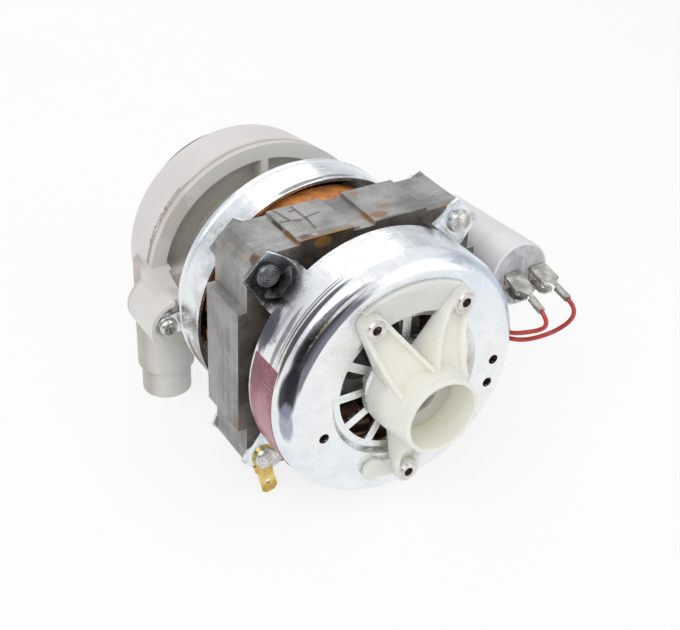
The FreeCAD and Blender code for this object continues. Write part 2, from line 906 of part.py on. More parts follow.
def make_eyelets():
    inner_face = sheet - front_face
    rim = eyelet_flange - eyelet_round
    eyelet = swept([(eyelet_hole, -foot_top - eyelet_sheet), (rim, -foot_top - eyelet_sheet),
                    (eyelet_flange, -foot_top), (eyelet_shank, -foot_top), (eyelet_shank, inner_face),
                    (eyelet_flange, inner_face), (rim, inner_face + eyelet_sheet),
                    (eyelet_hole, inner_face + eyelet_sheet)])
    eyelets = []
    for angle in spider_feet:
        x, z = radial(foot_place, angle)
        eyelets.append(moved(eyelet, x, 0, z))
    return eyelets


def casing_disc(radius, y_low, y_high):
    return rod(radius, y_low, y_high, casing_x, casing_z)


def chamber():
    # The space that the cap encloses over the casing's floor.
    edge = cap_inner_rounding * (1 - math.sqrt(0.5))
    end = chamber_end_radius
    return swept([(0, seam), (chamber_radius, seam), (end, chamber_end - cap_inner_rounding),
                  ((end - edge, chamber_end - edge), (end - cap_inner_rounding, chamber_end)),
                  (0, chamber_end)], 360.0, casing_x, casing_z)


def duct_column(radius, z_low, z_high):
    return Part.makeCylinder(radius, z_high - z_low, vec(duct_x, duct_y, z_low), vec(0, 0, 1))


def casing_rib(angle):
    # A plate from the hub to the recess wall, with its front corner rounded at the hub.
    half = rib_thickness / 2
    reach = recess_radius + wall
    root, floor = seal_tube - past, floor_front + lap
    turn = rib_round * (1 - math.sqrt(0.5))
    side = face_of([(root, floor), (root, flange_front + rib_round / 2),
                    ((root + turn, flange_front + turn / 2), (root + rib_round, flange_front)),
                    (reach, flange_front), (reach, floor)], lambda x, y: vec(x, y, -half))
    rib = turned(side.extrude(vec(0, 0, rib_thickness)), angle)
    return rib.common(casing_disc(recess_radius + lap, flange_front, floor))


def make_hood():
    # The curved cover over the left screw, with the sloping shelf that joins it to the casing.
    back = flange_front + boss_arm_half
    shell = rod(hood_radius, hood_front, back, hood_x, hood_z)
    start, top = hood_front + ledge_start, hood_z + hood_radius
    shelf_face = face_of([(start, top - ledge_drop), (back, ledge_rise), (back, hood_z), (start, hood_z)],
                         lambda y, z: vec(hood_x - ledge_half_width, y, z))
    shelf = shelf_face.extrude(vec(ledge_half_width * 2, 0, 0))
    low, open_to = hood_front - past, flange_front - wall
    inner = rod(hood_radius - hood_wall, low, open_to - hood_wall, hood_x, hood_z)
    far = hood_radius * 2
    below = block(hood_x - far, hood_x + far, low, open_to, hood_z - far, hood_z - hood_skirt)
    beside = block(hood_x + hood_side, hood_x + far, low, open_to, hood_z - far, hood_z + far)
    drum = rod(drum_radius + hood_air, low, rear_face + hood_air)
    return shell.fuse(shelf).cut([inner, below, beside, drum])


def make_pump_body():
    disc = swept([(0, floor_front), (recess_radius, floor_front), (recess_radius, flange_front),
                  (flange_radius, flange_front), (seam_radius, seam), (recess_radius + wall, seam),
                  (recess_radius + wall, floor_back), (0, floor_back)], 360.0, casing_x, casing_z)
    ring_front = floor_front - floor_ring_height
    floor_ring = pipe(floor_ring_radius, floor_ring_radius - floor_ring_width, ring_front, floor_front + lap)
    cone_start = rear_face + hub_socket_depth
    hub = swept([(0, rear_face), (hub_socket, rear_face), (hub_socket, cone_start),
                 (seal_tube, cone_start + hub_cone), (seal_tube, floor_back), (0, floor_back)])
    right_arm = block(recess_radius, right_x, seam - boss_arm, seam, right_z - boss_arm_half,
                      right_z + boss_arm_half)
    right_arm = right_arm.cut(casing_disc(recess_radius + past, seam - boss_arm - past, seam + past))
    shapes = [disc, hub, make_hood(), moved(floor_ring, casing_x, 0, casing_z),
              duct_column(duct_radius, duct_end, duct_top),
              duct_column(spigot_radius, spigot_end, duct_end + lap),
              rod(boss_radius, rear_face, flange_front + wall, left_x, left_z),
              rod(boss_radius, rear_face, seam, right_x, right_z), right_arm]
    shapes += [casing_rib(angle) for angle in rib_angles]
    body = joined(shapes)
    bottom = cone_start - wall * 2 / 3
    socket = swept([(0, rear_face - past), (hub_socket - wall, rear_face - past), (hub_socket - wall, bottom),
                    (seal_bore, bottom + hub_cone * 0.8), (seal_bore, seat_back), (0, seat_back)])
    screw_end = rear_face + screw_length
    tools = [socket, rod(seal_head_radius + impeller_air, seat_back - past, floor_back + past),
             chamber().common(casing_disc(flange_radius, floor_back, cap_end)),
             duct_column(duct_radius - duct_wall, duct_end, duct_top - duct_wall),
             duct_column(spigot_bore, spigot_end - past, duct_end + past),
             rod(screw_radius, rear_face - past, screw_end, left_x, left_z),
             rod(screw_radius, rear_face - past, screw_end, right_x, right_z)]
    return body.cut(tools)


def make_pump_cap():
    edge = cap_rounding * (1 - math.sqrt(0.5))
    shell = swept([(0, seam), (seam_radius, seam), (cap_end_radius, cap_end - cap_rounding),
                   ((cap_end_radius - edge, cap_end - edge), (cap_end_radius - cap_rounding, cap_end)),
                   (0, cap_end)], 360.0, casing_x, casing_z)
    cap = shell.fuse(rod(inlet_radius, cap_end - past, inlet_mouth))
    return cap.cut([chamber(), rod(inlet_radius - inlet_wall, seam, inlet_mouth + past),
                    duct_column(duct_radius, duct_end, duct_top)])


def make_inlet_collar():
    # A rubber lip seal on the inlet pipe. Its lip flares past the mouth.
    start = inlet_mouth - collar_length
    foot = inlet_radius + collar_wall
    lip = inlet_mouth + collar_lip_past_mouth
    bend, half_bend = inlet_mouth - collar_bend, inlet_mouth - collar_bend * 0.35
    thin = inlet_radius + collar_wall / 2
    edge = collar_lip_thickness / 4
    return swept([(inlet_radius, start), (foot, start), (foot, bend),
                  ((foot + collar_wall * 0.4, half_bend), (collar_lip, lip - edge * 2)),
                  (collar_lip - edge, lip), (collar_lip - collar_lip_thickness, lip),
                  (thin, bend / 2 + inlet_mouth / 2),
                  (thin, inlet_mouth), (inlet_radius, inlet_mouth)])


def make_impeller():
    disc = pipe(impeller_radius, shaft_tip_radius, plate_front, blade_front)
    crown = (impeller_hub - blade_thickness, blade_back - blade_height / 4)
    hub = swept([(shaft_tip_radius, plate_front), (impeller_hub, plate_front),
                 (impeller_hub, blade_back - blade_height / 2), (crown, (shaft_tip_radius, blade_back)),
                 (shaft_tip_radius, blade_front)])
    inner, outer = impeller_hub + blade_thickness, impeller_radius - blade_margin
    middle = (inner + outer) / 2 + blade_margin * 2
    ahead = [math.degrees(blade_thickness / reach) for reach in (inner, middle, outer)]
    front_side = [radial(inner, 0.0), radial(middle, -blade_bow), radial(outer, -blade_sweep)]
    back_side = [radial(inner, ahead[0]), radial(middle, ahead[1] - blade_bow),
                 radial(outer, ahead[2] - blade_sweep)]
    blade = plate([front_side[0], (front_side[1], front_side[2]), back_side[2], (back_side[1], back_side[0])],
                  blade_front - lap, blade_back)
    blades = [turned(blade, 360.0 / blade_count * k) for k in range(blade_count)]
    return joined([disc, hub] + blades)


def make_seal_seat():
    return pipe(seal_bore, seat_inner, seat_front, seat_back)


def make_seal_head():
    start = seat_back + seal_gap
    step = seal_head_step
    return swept([(shaft_radius, start), (seal_head_radius - step, start),
                  (seal_head_radius - step, start + step),
                  (seal_head_radius, start + step), (seal_head_radius, plate_front - step / 2),
                  (seal_head_radius - step, plate_front), (shaft_radius, plate_front)])


def make_water_slinger():
    start = rear_face + hub_height + slinger_air
    end = start + slinger_thickness
    return swept([(shaft_radius, start), (shaft_radius + slinger_collar, start),
                  (slinger_radius, end - slinger_thickness / 2), (slinger_radius, end), (shaft_radius, end)])


def make_pump_screws():
    screws = []
    seat = rear_face - sheet
    for angle in boss_angles:
        x, z = radial(boss_place, angle)
        seat_here = seat - bracket_sheet if angle == boss_angles[1] else seat
        top = seat_here - screw_head_height
        tip = rear_face + screw_length - past
        dome = (screw_head_radius - screw_head_height / 8, top + screw_head_height / 3)
        head = swept([(0, top), (screw_head_radius - screw_head_height / 2, top),
                      (dome, (screw_head_radius, seat_here)), (screw_radius, seat_here),
                      (screw_radius, tip - screw_radius), (0, tip)])
        arm, half = screw_head_radius / 2, screw_slot_half
        cross = [block(-arm, arm, top - past, top + screw_recess, -half, half),
                 block(-half, half, top - past, top + screw_recess, -arm, arm)]
        screws.append(moved(head.cut(cross), x, 0, z))
    return screws


def on_can(shape):
    # From the capacitor's own frame, with its front face at the origin, to its place beside the motor.
    copy = shape.copy()
    copy.rotate(vec(0, 0, 0), vec(1, 0, 0), -can_rise)
    return moved(copy, can_x, can_front, can_z)


def make_capacitor_can():
    edge = can_rim / 2
    stud_end = can_length + stud_length
    can = swept([(0, 0.0), (can_radius - edge, 0.0), (can_radius, edge), (can_radius, can_length - can_rim),
                 (can_radius - can_rim, can_length), (stud_radius, can_length),
                 (stud_radius, stud_end - can_rim), (stud_radius - can_rim, stud_end), (0, stud_end)])
    return on_can(can.cut(rod(can_radius - can_rim, -past, lid_thickness)))


def make_capacitor_lid():
    lid = rod(can_radius - can_rim, 0, lid_thickness)
    rib = block(lid_rib_x - lid_rib_half, lid_rib_x + lid_rib_half, -lid_rib_height, lap,
                lid_rib_low, lid_rib_high)
    return on_can(lid.fuse(rib))


def drooping_blade(x, z, angle, width, start, length, with_hole):
    # A flat blade that leaves the lid along -Y and points down by the angle.
    half = width / 2
    sheet_half = blade_sheet / 2
    tip = -start - length
    cut = blade_chamfer
    face = face_of([(-half, -start), (-half, tip + cut), (-half + cut, tip), (half - cut, tip),
                    (half, tip + cut), (half, -start)], lambda a, y: vec(a, y, -sheet_half))
    blade = face.extrude(vec(0, 0, blade_sheet))
    if with_hole:
        hole = Part.makeCylinder(blade_hole, blade_sheet * 2, vec(0, tip + blade_hole_from_tip, -blade_sheet),
                                 vec(0, 0, 1))
        blade = blade.cut(hole)
    blade.rotate(vec(0, 0, 0), vec(1, 0, 0), angle)
    return moved(blade, x, 0, z)


def upper_blade_z():
    return terminal_z + terminal_half_height


def make_capacitor_terminals():
    terminals = []
    for x, droop in zip(terminal_x, upper_droops):
        base = block(x - blade_width / 2, x + blade_width / 2, -blade_sheet, 0,
                     terminal_z - terminal_half_height, upper_blade_z())
        upper = drooping_blade(x, upper_blade_z(), droop, blade_width, 0.0, blade_length, False)
        lower = drooping_blade(x, terminal_z - terminal_half_height, lower_droop, blade_width, 0.0,
                               blade_length, True)
        behind = block(x - blade_width, x + blade_width, 0, lid_thickness, -can_radius, can_radius)
        terminals.append(on_can(joined([base, upper, lower]).cut(behind)))
    return terminals


def make_receptacle(number):
    # A crimped push-on socket: a floor on the blade, two rolled edges, a neck and a barrel.
    half = blade_width / 2
    low = blade_sheet / 2
    top = low + receptacle_sheet
    start = -receptacle_start
    end = start - receptacle_body
    roll = receptacle_roll
    inner = roll - receptacle_sheet
    axis = top - roll
    curl_x, curl_z = math.sin(math.radians(receptacle_curl)), math.cos(math.radians(receptacle_curl))
    right = [(half, top), ((half + roll, axis), (half - roll * curl_x, axis - roll * curl_z)),
             (half - inner * curl_x, axis - inner * curl_z), ((half + inner, axis), (half, low))]
    left = [(-half, low), ((-half - inner, axis), (-half + inner * curl_x, axis - inner * curl_z)),
            (-half + roll * curl_x, axis - roll * curl_z), ((-half - roll, axis), (-half, top))]
    shapes = [plate(right + left, end, start)]
    neck_end = end - receptacle_neck
    crimp_end = neck_end - crimp_length
    thin = receptacle_neck_half
    waist = neck_end + crimp_radius
    neck = face_of([(-half, end + lap), (-half, end), (-thin, waist), (-thin, neck_end - lap),
                    (thin, neck_end - lap), (thin, waist), (half, end), (half, end + lap)],
                   lambda a, y: vec(a, y, low))
    shapes.append(neck.extrude(vec(0, 0, receptacle_sheet)))
    shapes.append(pipe(crimp_radius, lead_radius, crimp_end, neck_end, 0.0, top - crimp_radius + crimp_rise))
    socket = shapes[0].multiFuse(shapes[1:])
    socket.rotate(vec(0, 0, 0), vec(1, 0, 0), upper_droops[number])
    return on_can(moved(socket, terminal_x[number], 0, upper_blade_z()))


def crimp_mouth(number, back):
    # A point on the barrel's axis, this far back from its open end.
    body = receptacle_start + receptacle_body + receptacle_neck + crimp_length
    barrel_z = blade_sheet / 2 + receptacle_sheet - crimp_radius + crimp_rise
    dot = Part.Vertex(0, -body + back, barrel_z)
    dot.rotate(vec(0, 0, 0), vec(1, 0, 0), upper_droops[number])
    return on_can(moved(dot, terminal_x[number], 0, upper_blade_z())).Point


def rounded_route(points):
    # Straight runs joined by tangent arcs, each as large as its two runs allow.
    edges = []
    radii = []
    here = points[0]
    for before, corner, after in zip(points, points[1:], points[2:]):
        run_in, run_out = corner - before, after - corner
        turn = run_in.getAngle(run_out)
        setback = 0.45 * min(run_in.Length, run_out.Length)
        radius = setback / math.tan(turn / 2)
        into, out = run_in / run_in.Length, run_out / run_out.Length
        start = corner - into * setback
        end = corner + out * setback
        inward = out - into
        centre = corner + inward / inward.Length * (radius / math.cos(turn / 2))
        middle = centre - inward / inward.Length * radius
        edges.append(Part.makeLine(here, start))
        edges.append(Part.Arc(start, middle, end).toShape())
        radii.append(round(radius, 1))
        here = end
    edges.append(Part.makeLine(here, points[-1]))
    return Part.Wire(edges), radii


def make_lead(name, number, corners):
    mouth = crimp_mouth(number, 0.0)
    outward = mouth - crimp_mouth(number, 1.0)
    points = [crimp_mouth(number, lead_in_crimp), mouth + outward * lead_past_crimp]
    points += [vec(*corner) for corner in corners]
    last = points[-1]
    flat = vec(last.x, 0, last.z)
    inside = flat / flat.Length * (main_coil_outer + lead_into_coil)
    points.append(vec(inside.x, lead_entry_y, inside.z))
    route, radii = rounded_route(points)
    start_direction = points[1] - points[0]
    section = Part.Wire(Part.makeCircle(lead_radius, points[0], start_direction))
    tube = route.makePipeShell([section], True, False)
    share = tube.Volume / (math.pi * lead_radius ** 2 * route.Length)
    print(name, "length", round(route.Length, 1), "radii", radii, "volume share", round(share, 4))
    print(name, "route", [tuple(round(c, 2) for c in point) for point in points])
    return tube


def make_stud_nut():
    start = can_length + bracket_sheet
    nut = plate(polygon_ring(6, stud_nut_flats), start, start + stud_nut_height)
    return on_can(nut.cut(rod(stud_radius, start, start + stud_nut_height)))


def make_capacitor_bracket():
    # A bent strip: one end under the right pump screw, the other behind the can on its stud.
    back = rear_face - sheet
    front = back - bracket_sheet
    half = bracket_half_width
    low, high = can_length, can_length + bracket_sheet
    stem = right_x + screw_head_radius + bracket_air
    bend = -nut_corner - bracket_air
    foot = block(right_x - bracket_foot, stem, front, back, right_z - half, right_z + half)
    foot = foot.cut(rod(drum_radius + hood_air, front - past, back + past))
    pad = rod(bracket_pad, low, high).common(block(bend, bracket_pad, low, high, -bracket_pad, bracket_pad))
    strip = block(bend, 0, low, high, -half, half)
    foot_end = [(front, -half), (back, -half), (back, half), (front, half), (front, -half)]
    pad_end = [(low, -half), (high, -half), (high, half), (low, half), (low, -half)]
    first = Part.makePolygon([vec(stem, y, right_z + z) for y, z in foot_end])
    second = on_can(Part.makePolygon([vec(bend, y, z) for y, z in pad_end]))
    web = Part.makeLoft([first, second], True, True)
    bracket = joined([foot, web, on_can(strip), on_can(pad)])
    return bracket.cut([rod(screw_radius + bolt_clearance, front - past, back + past, right_x, right_z),
                        on_can(rod(stud_radius + bolt_clearance, low - past, high + past))])


nodes = {
    "stator_core": make_stator_core(),
    "main_winding": make_main_winding(),
    "start_winding": make_start_winding(),
    "rotor_core": make_rotor_core(),
    "rotor_cage": make_rotor_cage(),
    "shaft": make_shaft(),
    "front_bush": make_bush(front_bush_end),
    "rear_bush": make_bush(rear_bush_end),
    "front_bush_retainer": make_bush_retainer(front_bush_end, -(front_floor - sheet)),
    "rear_bush_retainer": make_bush_retainer(rear_bush_end, rear_face - sheet),
    "thrust_washers": Part.makeCompound(make_thrust_washers()),
    "retaining_rings": Part.makeCompound(make_retaining_rings()),
    "front_end_shield": make_front_end_shield(),
    "rear_end_shield": make_rear_end_shield(),
    "tie_bolts": Part.makeCompound(make_tie_bolts()),
    "tie_nuts": Part.makeCompound(make_tie_nuts()),
    "earth_terminal": make_earth_terminal(),
    "rating_label": make_rating_label(),
    "tail_spider": make_tail_spider(),
    "spider_eyelets": Part.makeCompound(make_eyelets()),
    "pump_body": make_pump_body(),
    "pump_cap": make_pump_cap(),
    "inlet_collar": make_inlet_collar(),
    "impeller": make_impeller(),
    "seal_seat": make_seal_seat(),
    "seal_head": make_seal_head(),
    "water_slinger": make_water_slinger(),
    "pump_screws": Part.makeCompound(make_pump_screws()),
    "capacitor_can": make_capacitor_can(),
    "capacitor_lid": make_capacitor_lid(),
    "capacitor_terminals": Part.makeCompound(make_capacitor_terminals()),
    "capacitor_nut": make_stud_nut(),
    "capacitor_bracket": make_capacitor_bracket(),
    "lead_receptacle_1": make_receptacle(0),
    "lead_receptacle_2": make_receptacle(1),
    "lead_1": make_lead("lead_1", 0, lead_1_points),
    "lead_2": make_lead("lead_2", 1, lead_2_points),
}

os.makedirs("parts", exist_ok=True)
for name, shape in nodes.items():
    placed = moved(shape, 0, -inlet_mouth, 0)
    print(name, len(placed.Solids), placed.isValid(), round(placed.Volume, 1))
    placed.exportStep("parts/" + name + ".step")
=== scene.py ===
import bpy
import bmesh
import math
from mathutils import Matrix, Vector
from mathutils.geometry import tessellate_polygon


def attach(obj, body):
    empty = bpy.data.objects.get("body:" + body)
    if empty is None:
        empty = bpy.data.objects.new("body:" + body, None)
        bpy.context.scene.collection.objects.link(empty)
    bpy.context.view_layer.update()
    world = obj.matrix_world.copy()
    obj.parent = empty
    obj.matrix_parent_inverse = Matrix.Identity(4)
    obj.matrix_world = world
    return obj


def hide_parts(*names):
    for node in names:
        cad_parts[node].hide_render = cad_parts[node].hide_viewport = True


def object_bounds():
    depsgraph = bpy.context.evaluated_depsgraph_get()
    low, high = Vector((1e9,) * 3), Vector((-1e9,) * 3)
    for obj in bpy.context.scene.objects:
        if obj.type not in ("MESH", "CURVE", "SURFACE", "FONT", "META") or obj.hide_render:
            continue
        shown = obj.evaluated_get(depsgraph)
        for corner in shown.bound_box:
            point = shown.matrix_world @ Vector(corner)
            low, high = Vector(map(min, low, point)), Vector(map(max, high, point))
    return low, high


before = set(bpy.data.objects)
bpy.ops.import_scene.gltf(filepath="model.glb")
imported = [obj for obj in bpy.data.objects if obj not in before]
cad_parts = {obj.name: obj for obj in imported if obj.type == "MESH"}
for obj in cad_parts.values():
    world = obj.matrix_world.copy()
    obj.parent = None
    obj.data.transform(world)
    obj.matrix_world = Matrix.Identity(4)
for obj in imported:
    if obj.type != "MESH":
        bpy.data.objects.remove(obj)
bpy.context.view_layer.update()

mm = 0.001
stackMiddle = -97.0  # the middle of the stator stack in the row frame, mm along Y


def place(x, y, z):  # a point measured from the stack's middle, in mm
    return Vector((x * mm, (y + stackMiddle) * mm, z * mm))


casingCentre = (-2.5, -0.8)  # the casing's own axis, as X and Z in mm
blockTop = 48.5  # height of the raised blocks above the shaft
leftFace = -46.5  # the stack's left side starts here
earFace = -13.6  # just in front of the front shield's ears


# Camera
cameraSizes = {"azimuth": -33.077, "elevation": 33.655, "roll": 2.839, "distance": 491.312,
               "focal": 1294.386, "aside": -0.546, "above": 2.43, "imageWidth": 680.0, "sensor": 36.0}


def makeCamera(sizes):
    azimuth, elevation, roll = (math.radians(sizes[k]) for k in ("azimuth", "elevation", "roll"))
    back = Vector((math.sin(azimuth) * math.cos(elevation), -math.cos(azimuth) * math.cos(elevation),
                   math.sin(elevation)))
    right = (-back).cross(Vector((0, 0, 1))).normalized()
    up = back.cross(right)
    rightRolled = math.cos(roll) * right + math.sin(roll) * up
    upRolled = math.cos(roll) * up - math.sin(roll) * right
    spot = sizes["aside"] * rightRolled + sizes["above"] * upRolled + sizes["distance"] * back
    data = bpy.data.cameras.new("photoCamera")
    data.sensor_width = sizes["sensor"]
    data.lens = sizes["focal"] * sizes["sensor"] / sizes["imageWidth"]
    data.clip_start = 0.01
    camera = bpy.data.objects.new("photoCamera", data)
    bpy.context.scene.collection.objects.link(camera)
    turn = Matrix((rightRolled, upRolled, back)).transposed().to_4x4()
    camera.matrix_world = Matrix.Translation(place(*spot)) @ turn
    bpy.context.scene.camera = camera


makeCamera(cameraSizes)
print("camera placed")


# Node helpers
def addNode(tree, kind, inputs=None, **settings):
    node = tree.nodes.new(kind)
    for name, value in settings.items():
        setattr(node, name, value)
    for key, value in (inputs or {}).items():
        if isinstance(value, bpy.types.NodeSocket):
            tree.links.new(value, node.inputs[key])
        else:
            node.inputs[key].default_value = value
    return node


def calc(tree, operation, first, second=0.0, third=0.0, clamp=False):
    node = addNode(tree, "ShaderNodeMath", {0: first, 1: second, 2: third}, operation=operation)
    node.use_clamp = clamp
    return node.outputs[0]


def blendColor(tree, amount, low, high, mode="MIX"):
    node = addNode(tree, "ShaderNodeMix", data_type="RGBA", blend_type=mode)
    for index, value in ((0, amount), (6, low), (7, high)):
        if isinstance(value, bpy.types.NodeSocket):
            tree.links.new(value, node.inputs[index])
        elif index == 0:
            node.inputs[index].default_value = value
        else:
            node.inputs[index].default_value = (*value, 1.0)
    return node.outputs[2]


def vecMath(tree, operation, first, second=None, scale=None):
    given = {0: first, 1: second, "Scale": scale}
    node = addNode(tree, "ShaderNodeVectorMath", {k: v for k, v in given.items() if v is not None},
                   operation=operation)
    return node.outputs[1 if operation in ("LENGTH", "DISTANCE", "DOT_PRODUCT") else 0]


def splitVector(tree, vector):
    return addNode(tree, "ShaderNodeSeparateXYZ", {0: vector}).outputs


def joinVector(tree, x=0.0, y=0.0, z=0.0):
    return addNode(tree, "ShaderNodeCombineXYZ", {0: x, 1: y, 2: z}).outputs[0]


def greyOf(tree, shade):
    return addNode(tree, "ShaderNodeCombineColor", {0: shade, 1: shade, 2: shade}).outputs[0]


def mapRange(tree, value, low, high, curve="LINEAR"):
    return addNode(tree, "ShaderNodeMapRange", {"Value": value, "From Min": low, "From Max": high},
                   interpolation_type=curve).outputs[0]


def newGroup(name, inputs, outputs):
    tree = bpy.data.node_groups.new(name, "ShaderNodeTree")
    for label, kind, value in inputs:
        socket = tree.interface.new_socket(label, in_out="INPUT", socket_type=kind)
        if value is not None:
            socket.default_value = value
    for label, kind in outputs:
        tree.interface.new_socket(label, in_out="OUTPUT", socket_type=kind)
    start = tree.nodes.new("NodeGroupInput")
    end = tree.nodes.new("NodeGroupOutput")
    return tree, start.outputs, end.inputs


floatKind, vectorKind, colorKind = "NodeSocketFloat", "NodeSocketVector", "NodeSocketColor"


def makeMottleGroup():  # two tones that wander over the surface
    tree, given, result = newGroup("mottle", [
        ("Vector", vectorKind, None), ("Scale", floatKind, 60.0), ("Detail", floatKind, 4.0),
        ("Low", floatKind, 0.4), ("High", floatKind, 0.6), ("Dark", colorKind, (0, 0, 0, 1)),
        ("Light", colorKind, (1, 1, 1, 1))], [("Color", colorKind), ("Mask", floatKind)])
    noise = addNode(tree, "ShaderNodeTexNoise", {"Vector": given["Vector"], "Scale": given["Scale"],
                                                 "Detail": given["Detail"], "Roughness": 0.6})
    mask = mapRange(tree, noise.outputs[0], given["Low"], given["High"], "SMOOTHSTEP")
    tree.links.new(mask, result["Mask"])
    tree.links.new(blendColor(tree, mask, given["Dark"], given["Light"]), result["Color"])
    return tree


def makeScratchGroup():  # fine scratches in two directions
    tree, given, result = newGroup("scratches", [
        ("Vector", vectorKind, None), ("Scale", floatKind, 30.0), ("Amount", floatKind, 0.1)],
        [("Mask", floatKind)])
    total = None
    for turn, stretch in (((0.3, 0.5, 0.9), (1.0, 24.0, 24.0)), ((1.1, -0.4, 0.2), (30.0, 1.2, 30.0))):
        mapped = addNode(tree, "ShaderNodeMapping", {"Vector": given["Vector"], "Rotation": turn,
                                                     "Scale": stretch})
        noise = addNode(tree, "ShaderNodeTexNoise", {"Vector": mapped.outputs[0], "Scale": given["Scale"],
                                                     "Detail": 2.0})
        limit = calc(tree, "SUBTRACT", 0.74, given["Amount"])
        line = calc(tree, "MULTIPLY", calc(tree, "SUBTRACT", noise.outputs[0], limit), 14.0, clamp=True)
        total = line if total is None else calc(tree, "MAXIMUM", total, line)
    tree.links.new(total, result["Mask"])
    return tree


def makePatchGroup():  # a ragged patch about one point
    tree, given, result = newGroup("patch", [
        ("Vector", vectorKind, None), ("Center", vectorKind, (0, 0, 0)), ("Stretch", vectorKind, (1, 1, 1)),
        ("Radius", floatKind, 0.01), ("Ragged", floatKind, 0.6), ("Scale", floatKind, 300.0)],
        [("Mask", floatKind)])
    away = vecMath(tree, "SUBTRACT", given["Vector"], given["Center"])
    away = vecMath(tree, "MULTIPLY", away, given["Stretch"])
    far = vecMath(tree, "LENGTH", away)
    noise = addNode(tree, "ShaderNodeTexNoise", {"Vector": given["Vector"], "Scale": given["Scale"],
                                                 "Detail": 5.0, "Roughness": 0.7})
    ragged = calc(tree, "MULTIPLY", calc(tree, "SUBTRACT", noise.outputs[0], 0.5), given["Ragged"])
    level = calc(tree, "SUBTRACT", 1.0, calc(tree, "DIVIDE", far, given["Radius"]))
    level = calc(tree, "ADD", level, calc(tree, "MULTIPLY", ragged, 2.0))
    tree.links.new(mapRange(tree, level, 0.0, 0.45, "SMOOTHSTEP"), result["Mask"])
    return tree


def makeGrainGroup():  # surface height from fine noise and a slower wave
    tree, given, result = newGroup("grain", [
        ("Vector", vectorKind, None), ("Scale", floatKind, 900.0), ("Wave", floatKind, 0.3)],
        [("Height", floatKind)])
    fine = addNode(tree, "ShaderNodeTexNoise", {"Vector": given["Vector"], "Scale": given["Scale"],
                                                "Detail": 3.0})
    slow = addNode(tree, "ShaderNodeTexNoise", {"Vector": given["Vector"], "Detail": 1.0,
                                                "Scale": calc(tree, "MULTIPLY", given["Scale"], 0.12)})
    total = calc(tree, "ADD", fine.outputs[0], calc(tree, "MULTIPLY", slow.outputs[0], given["Wave"]))
    tree.links.new(total, result["Height"])
    return tree


def makeRingGroup():  # lines round the shaft, as a press tool and a lathe leave them
    tree, given, result = newGroup("toolRings", [
        ("Vector", vectorKind, None), ("Pitch", floatKind, 0.0011), ("Break", floatKind, 0.5)],
        [("Mask", floatKind), ("Radius", floatKind)])
    parts = splitVector(tree, given["Vector"])
    flat = joinVector(tree, parts[0], 0.0, parts[2])
    radius = vecMath(tree, "LENGTH", flat)
    noise = addNode(tree, "ShaderNodeTexNoise", {"Vector": given["Vector"], "Scale": 45.0, "Detail": 3.0})
    shifted = calc(tree, "ADD", radius, calc(tree, "MULTIPLY", noise.outputs[0], 0.0012))
    wave = calc(tree, "SINE", calc(tree, "MULTIPLY", calc(tree, "DIVIDE", shifted, given["Pitch"]), 6.2832))
    high = calc(tree, "MULTIPLY", calc(tree, "ADD", wave, 1.0), 0.5)
    broken = calc(tree, "MULTIPLY", calc(tree, "SUBTRACT", noise.outputs[0], 0.35), 3.0, clamp=True)
    broken = calc(tree, "SUBTRACT", 1.0, calc(tree, "MULTIPLY", broken, given["Break"]))
    tree.links.new(calc(tree, "MULTIPLY", high, broken), result["Mask"])
    tree.links.new(radius, result["Radius"])
    return tree


def makeArcGroup():  # a ragged mark that runs round the shaft
    tree, given, result = newGroup("arcMark", [
        ("Vector", vectorKind, None), ("Angle", floatKind, 0.0), ("Half", floatKind, 0.3),
        ("Radius", floatKind, 0.05), ("Along", floatKind, -0.13), ("Width", floatKind, 0.003),
        ("Ragged", floatKind, 0.5)], [("Mask", floatKind)])
    parts = splitVector(tree, given["Vector"])
    flat = joinVector(tree, parts[0], 0.0, parts[2])
    radius = vecMath(tree, "LENGTH", flat)
    apart = joinVector(tree, x=calc(tree, "SUBTRACT", radius, given["Radius"]),
                       y=calc(tree, "SUBTRACT", parts[1], given["Along"]))
    across = calc(tree, "DIVIDE", vecMath(tree, "LENGTH", apart),
                  given["Width"])
    angle = calc(tree, "ARCTAN2", parts[2], parts[0])
    turn = calc(tree, "WRAP", calc(tree, "SUBTRACT", angle, given["Angle"]), math.pi, -math.pi)
    along = calc(tree, "DIVIDE", calc(tree, "ABSOLUTE", turn), given["Half"])
    far = calc(tree, "ADD", calc(tree, "POWER", across, 2.0), calc(tree, "POWER", along, 2.0))
    stretch = joinVector(tree, calc(tree, "MULTIPLY", radius, 900.0),
                         calc(tree, "MULTIPLY", parts[1], 900.0), calc(tree, "MULTIPLY", angle, 5.0))
    noise = addNode(tree, "ShaderNodeTexNoise", {"Vector": stretch, "Scale": 1.0, "Detail": 4.0})
    level = calc(tree, "ADD", calc(tree, "SUBTRACT", 1.0, far),
                 calc(tree, "MULTIPLY", calc(tree, "SUBTRACT", noise.outputs[0], 0.5),
                      calc(tree, "MULTIPLY", given["Ragged"], 2.0)))
    tree.links.new(mapRange(tree, level, 0.0, 0.6, "SMOOTHSTEP"), result["Mask"])
    return tree


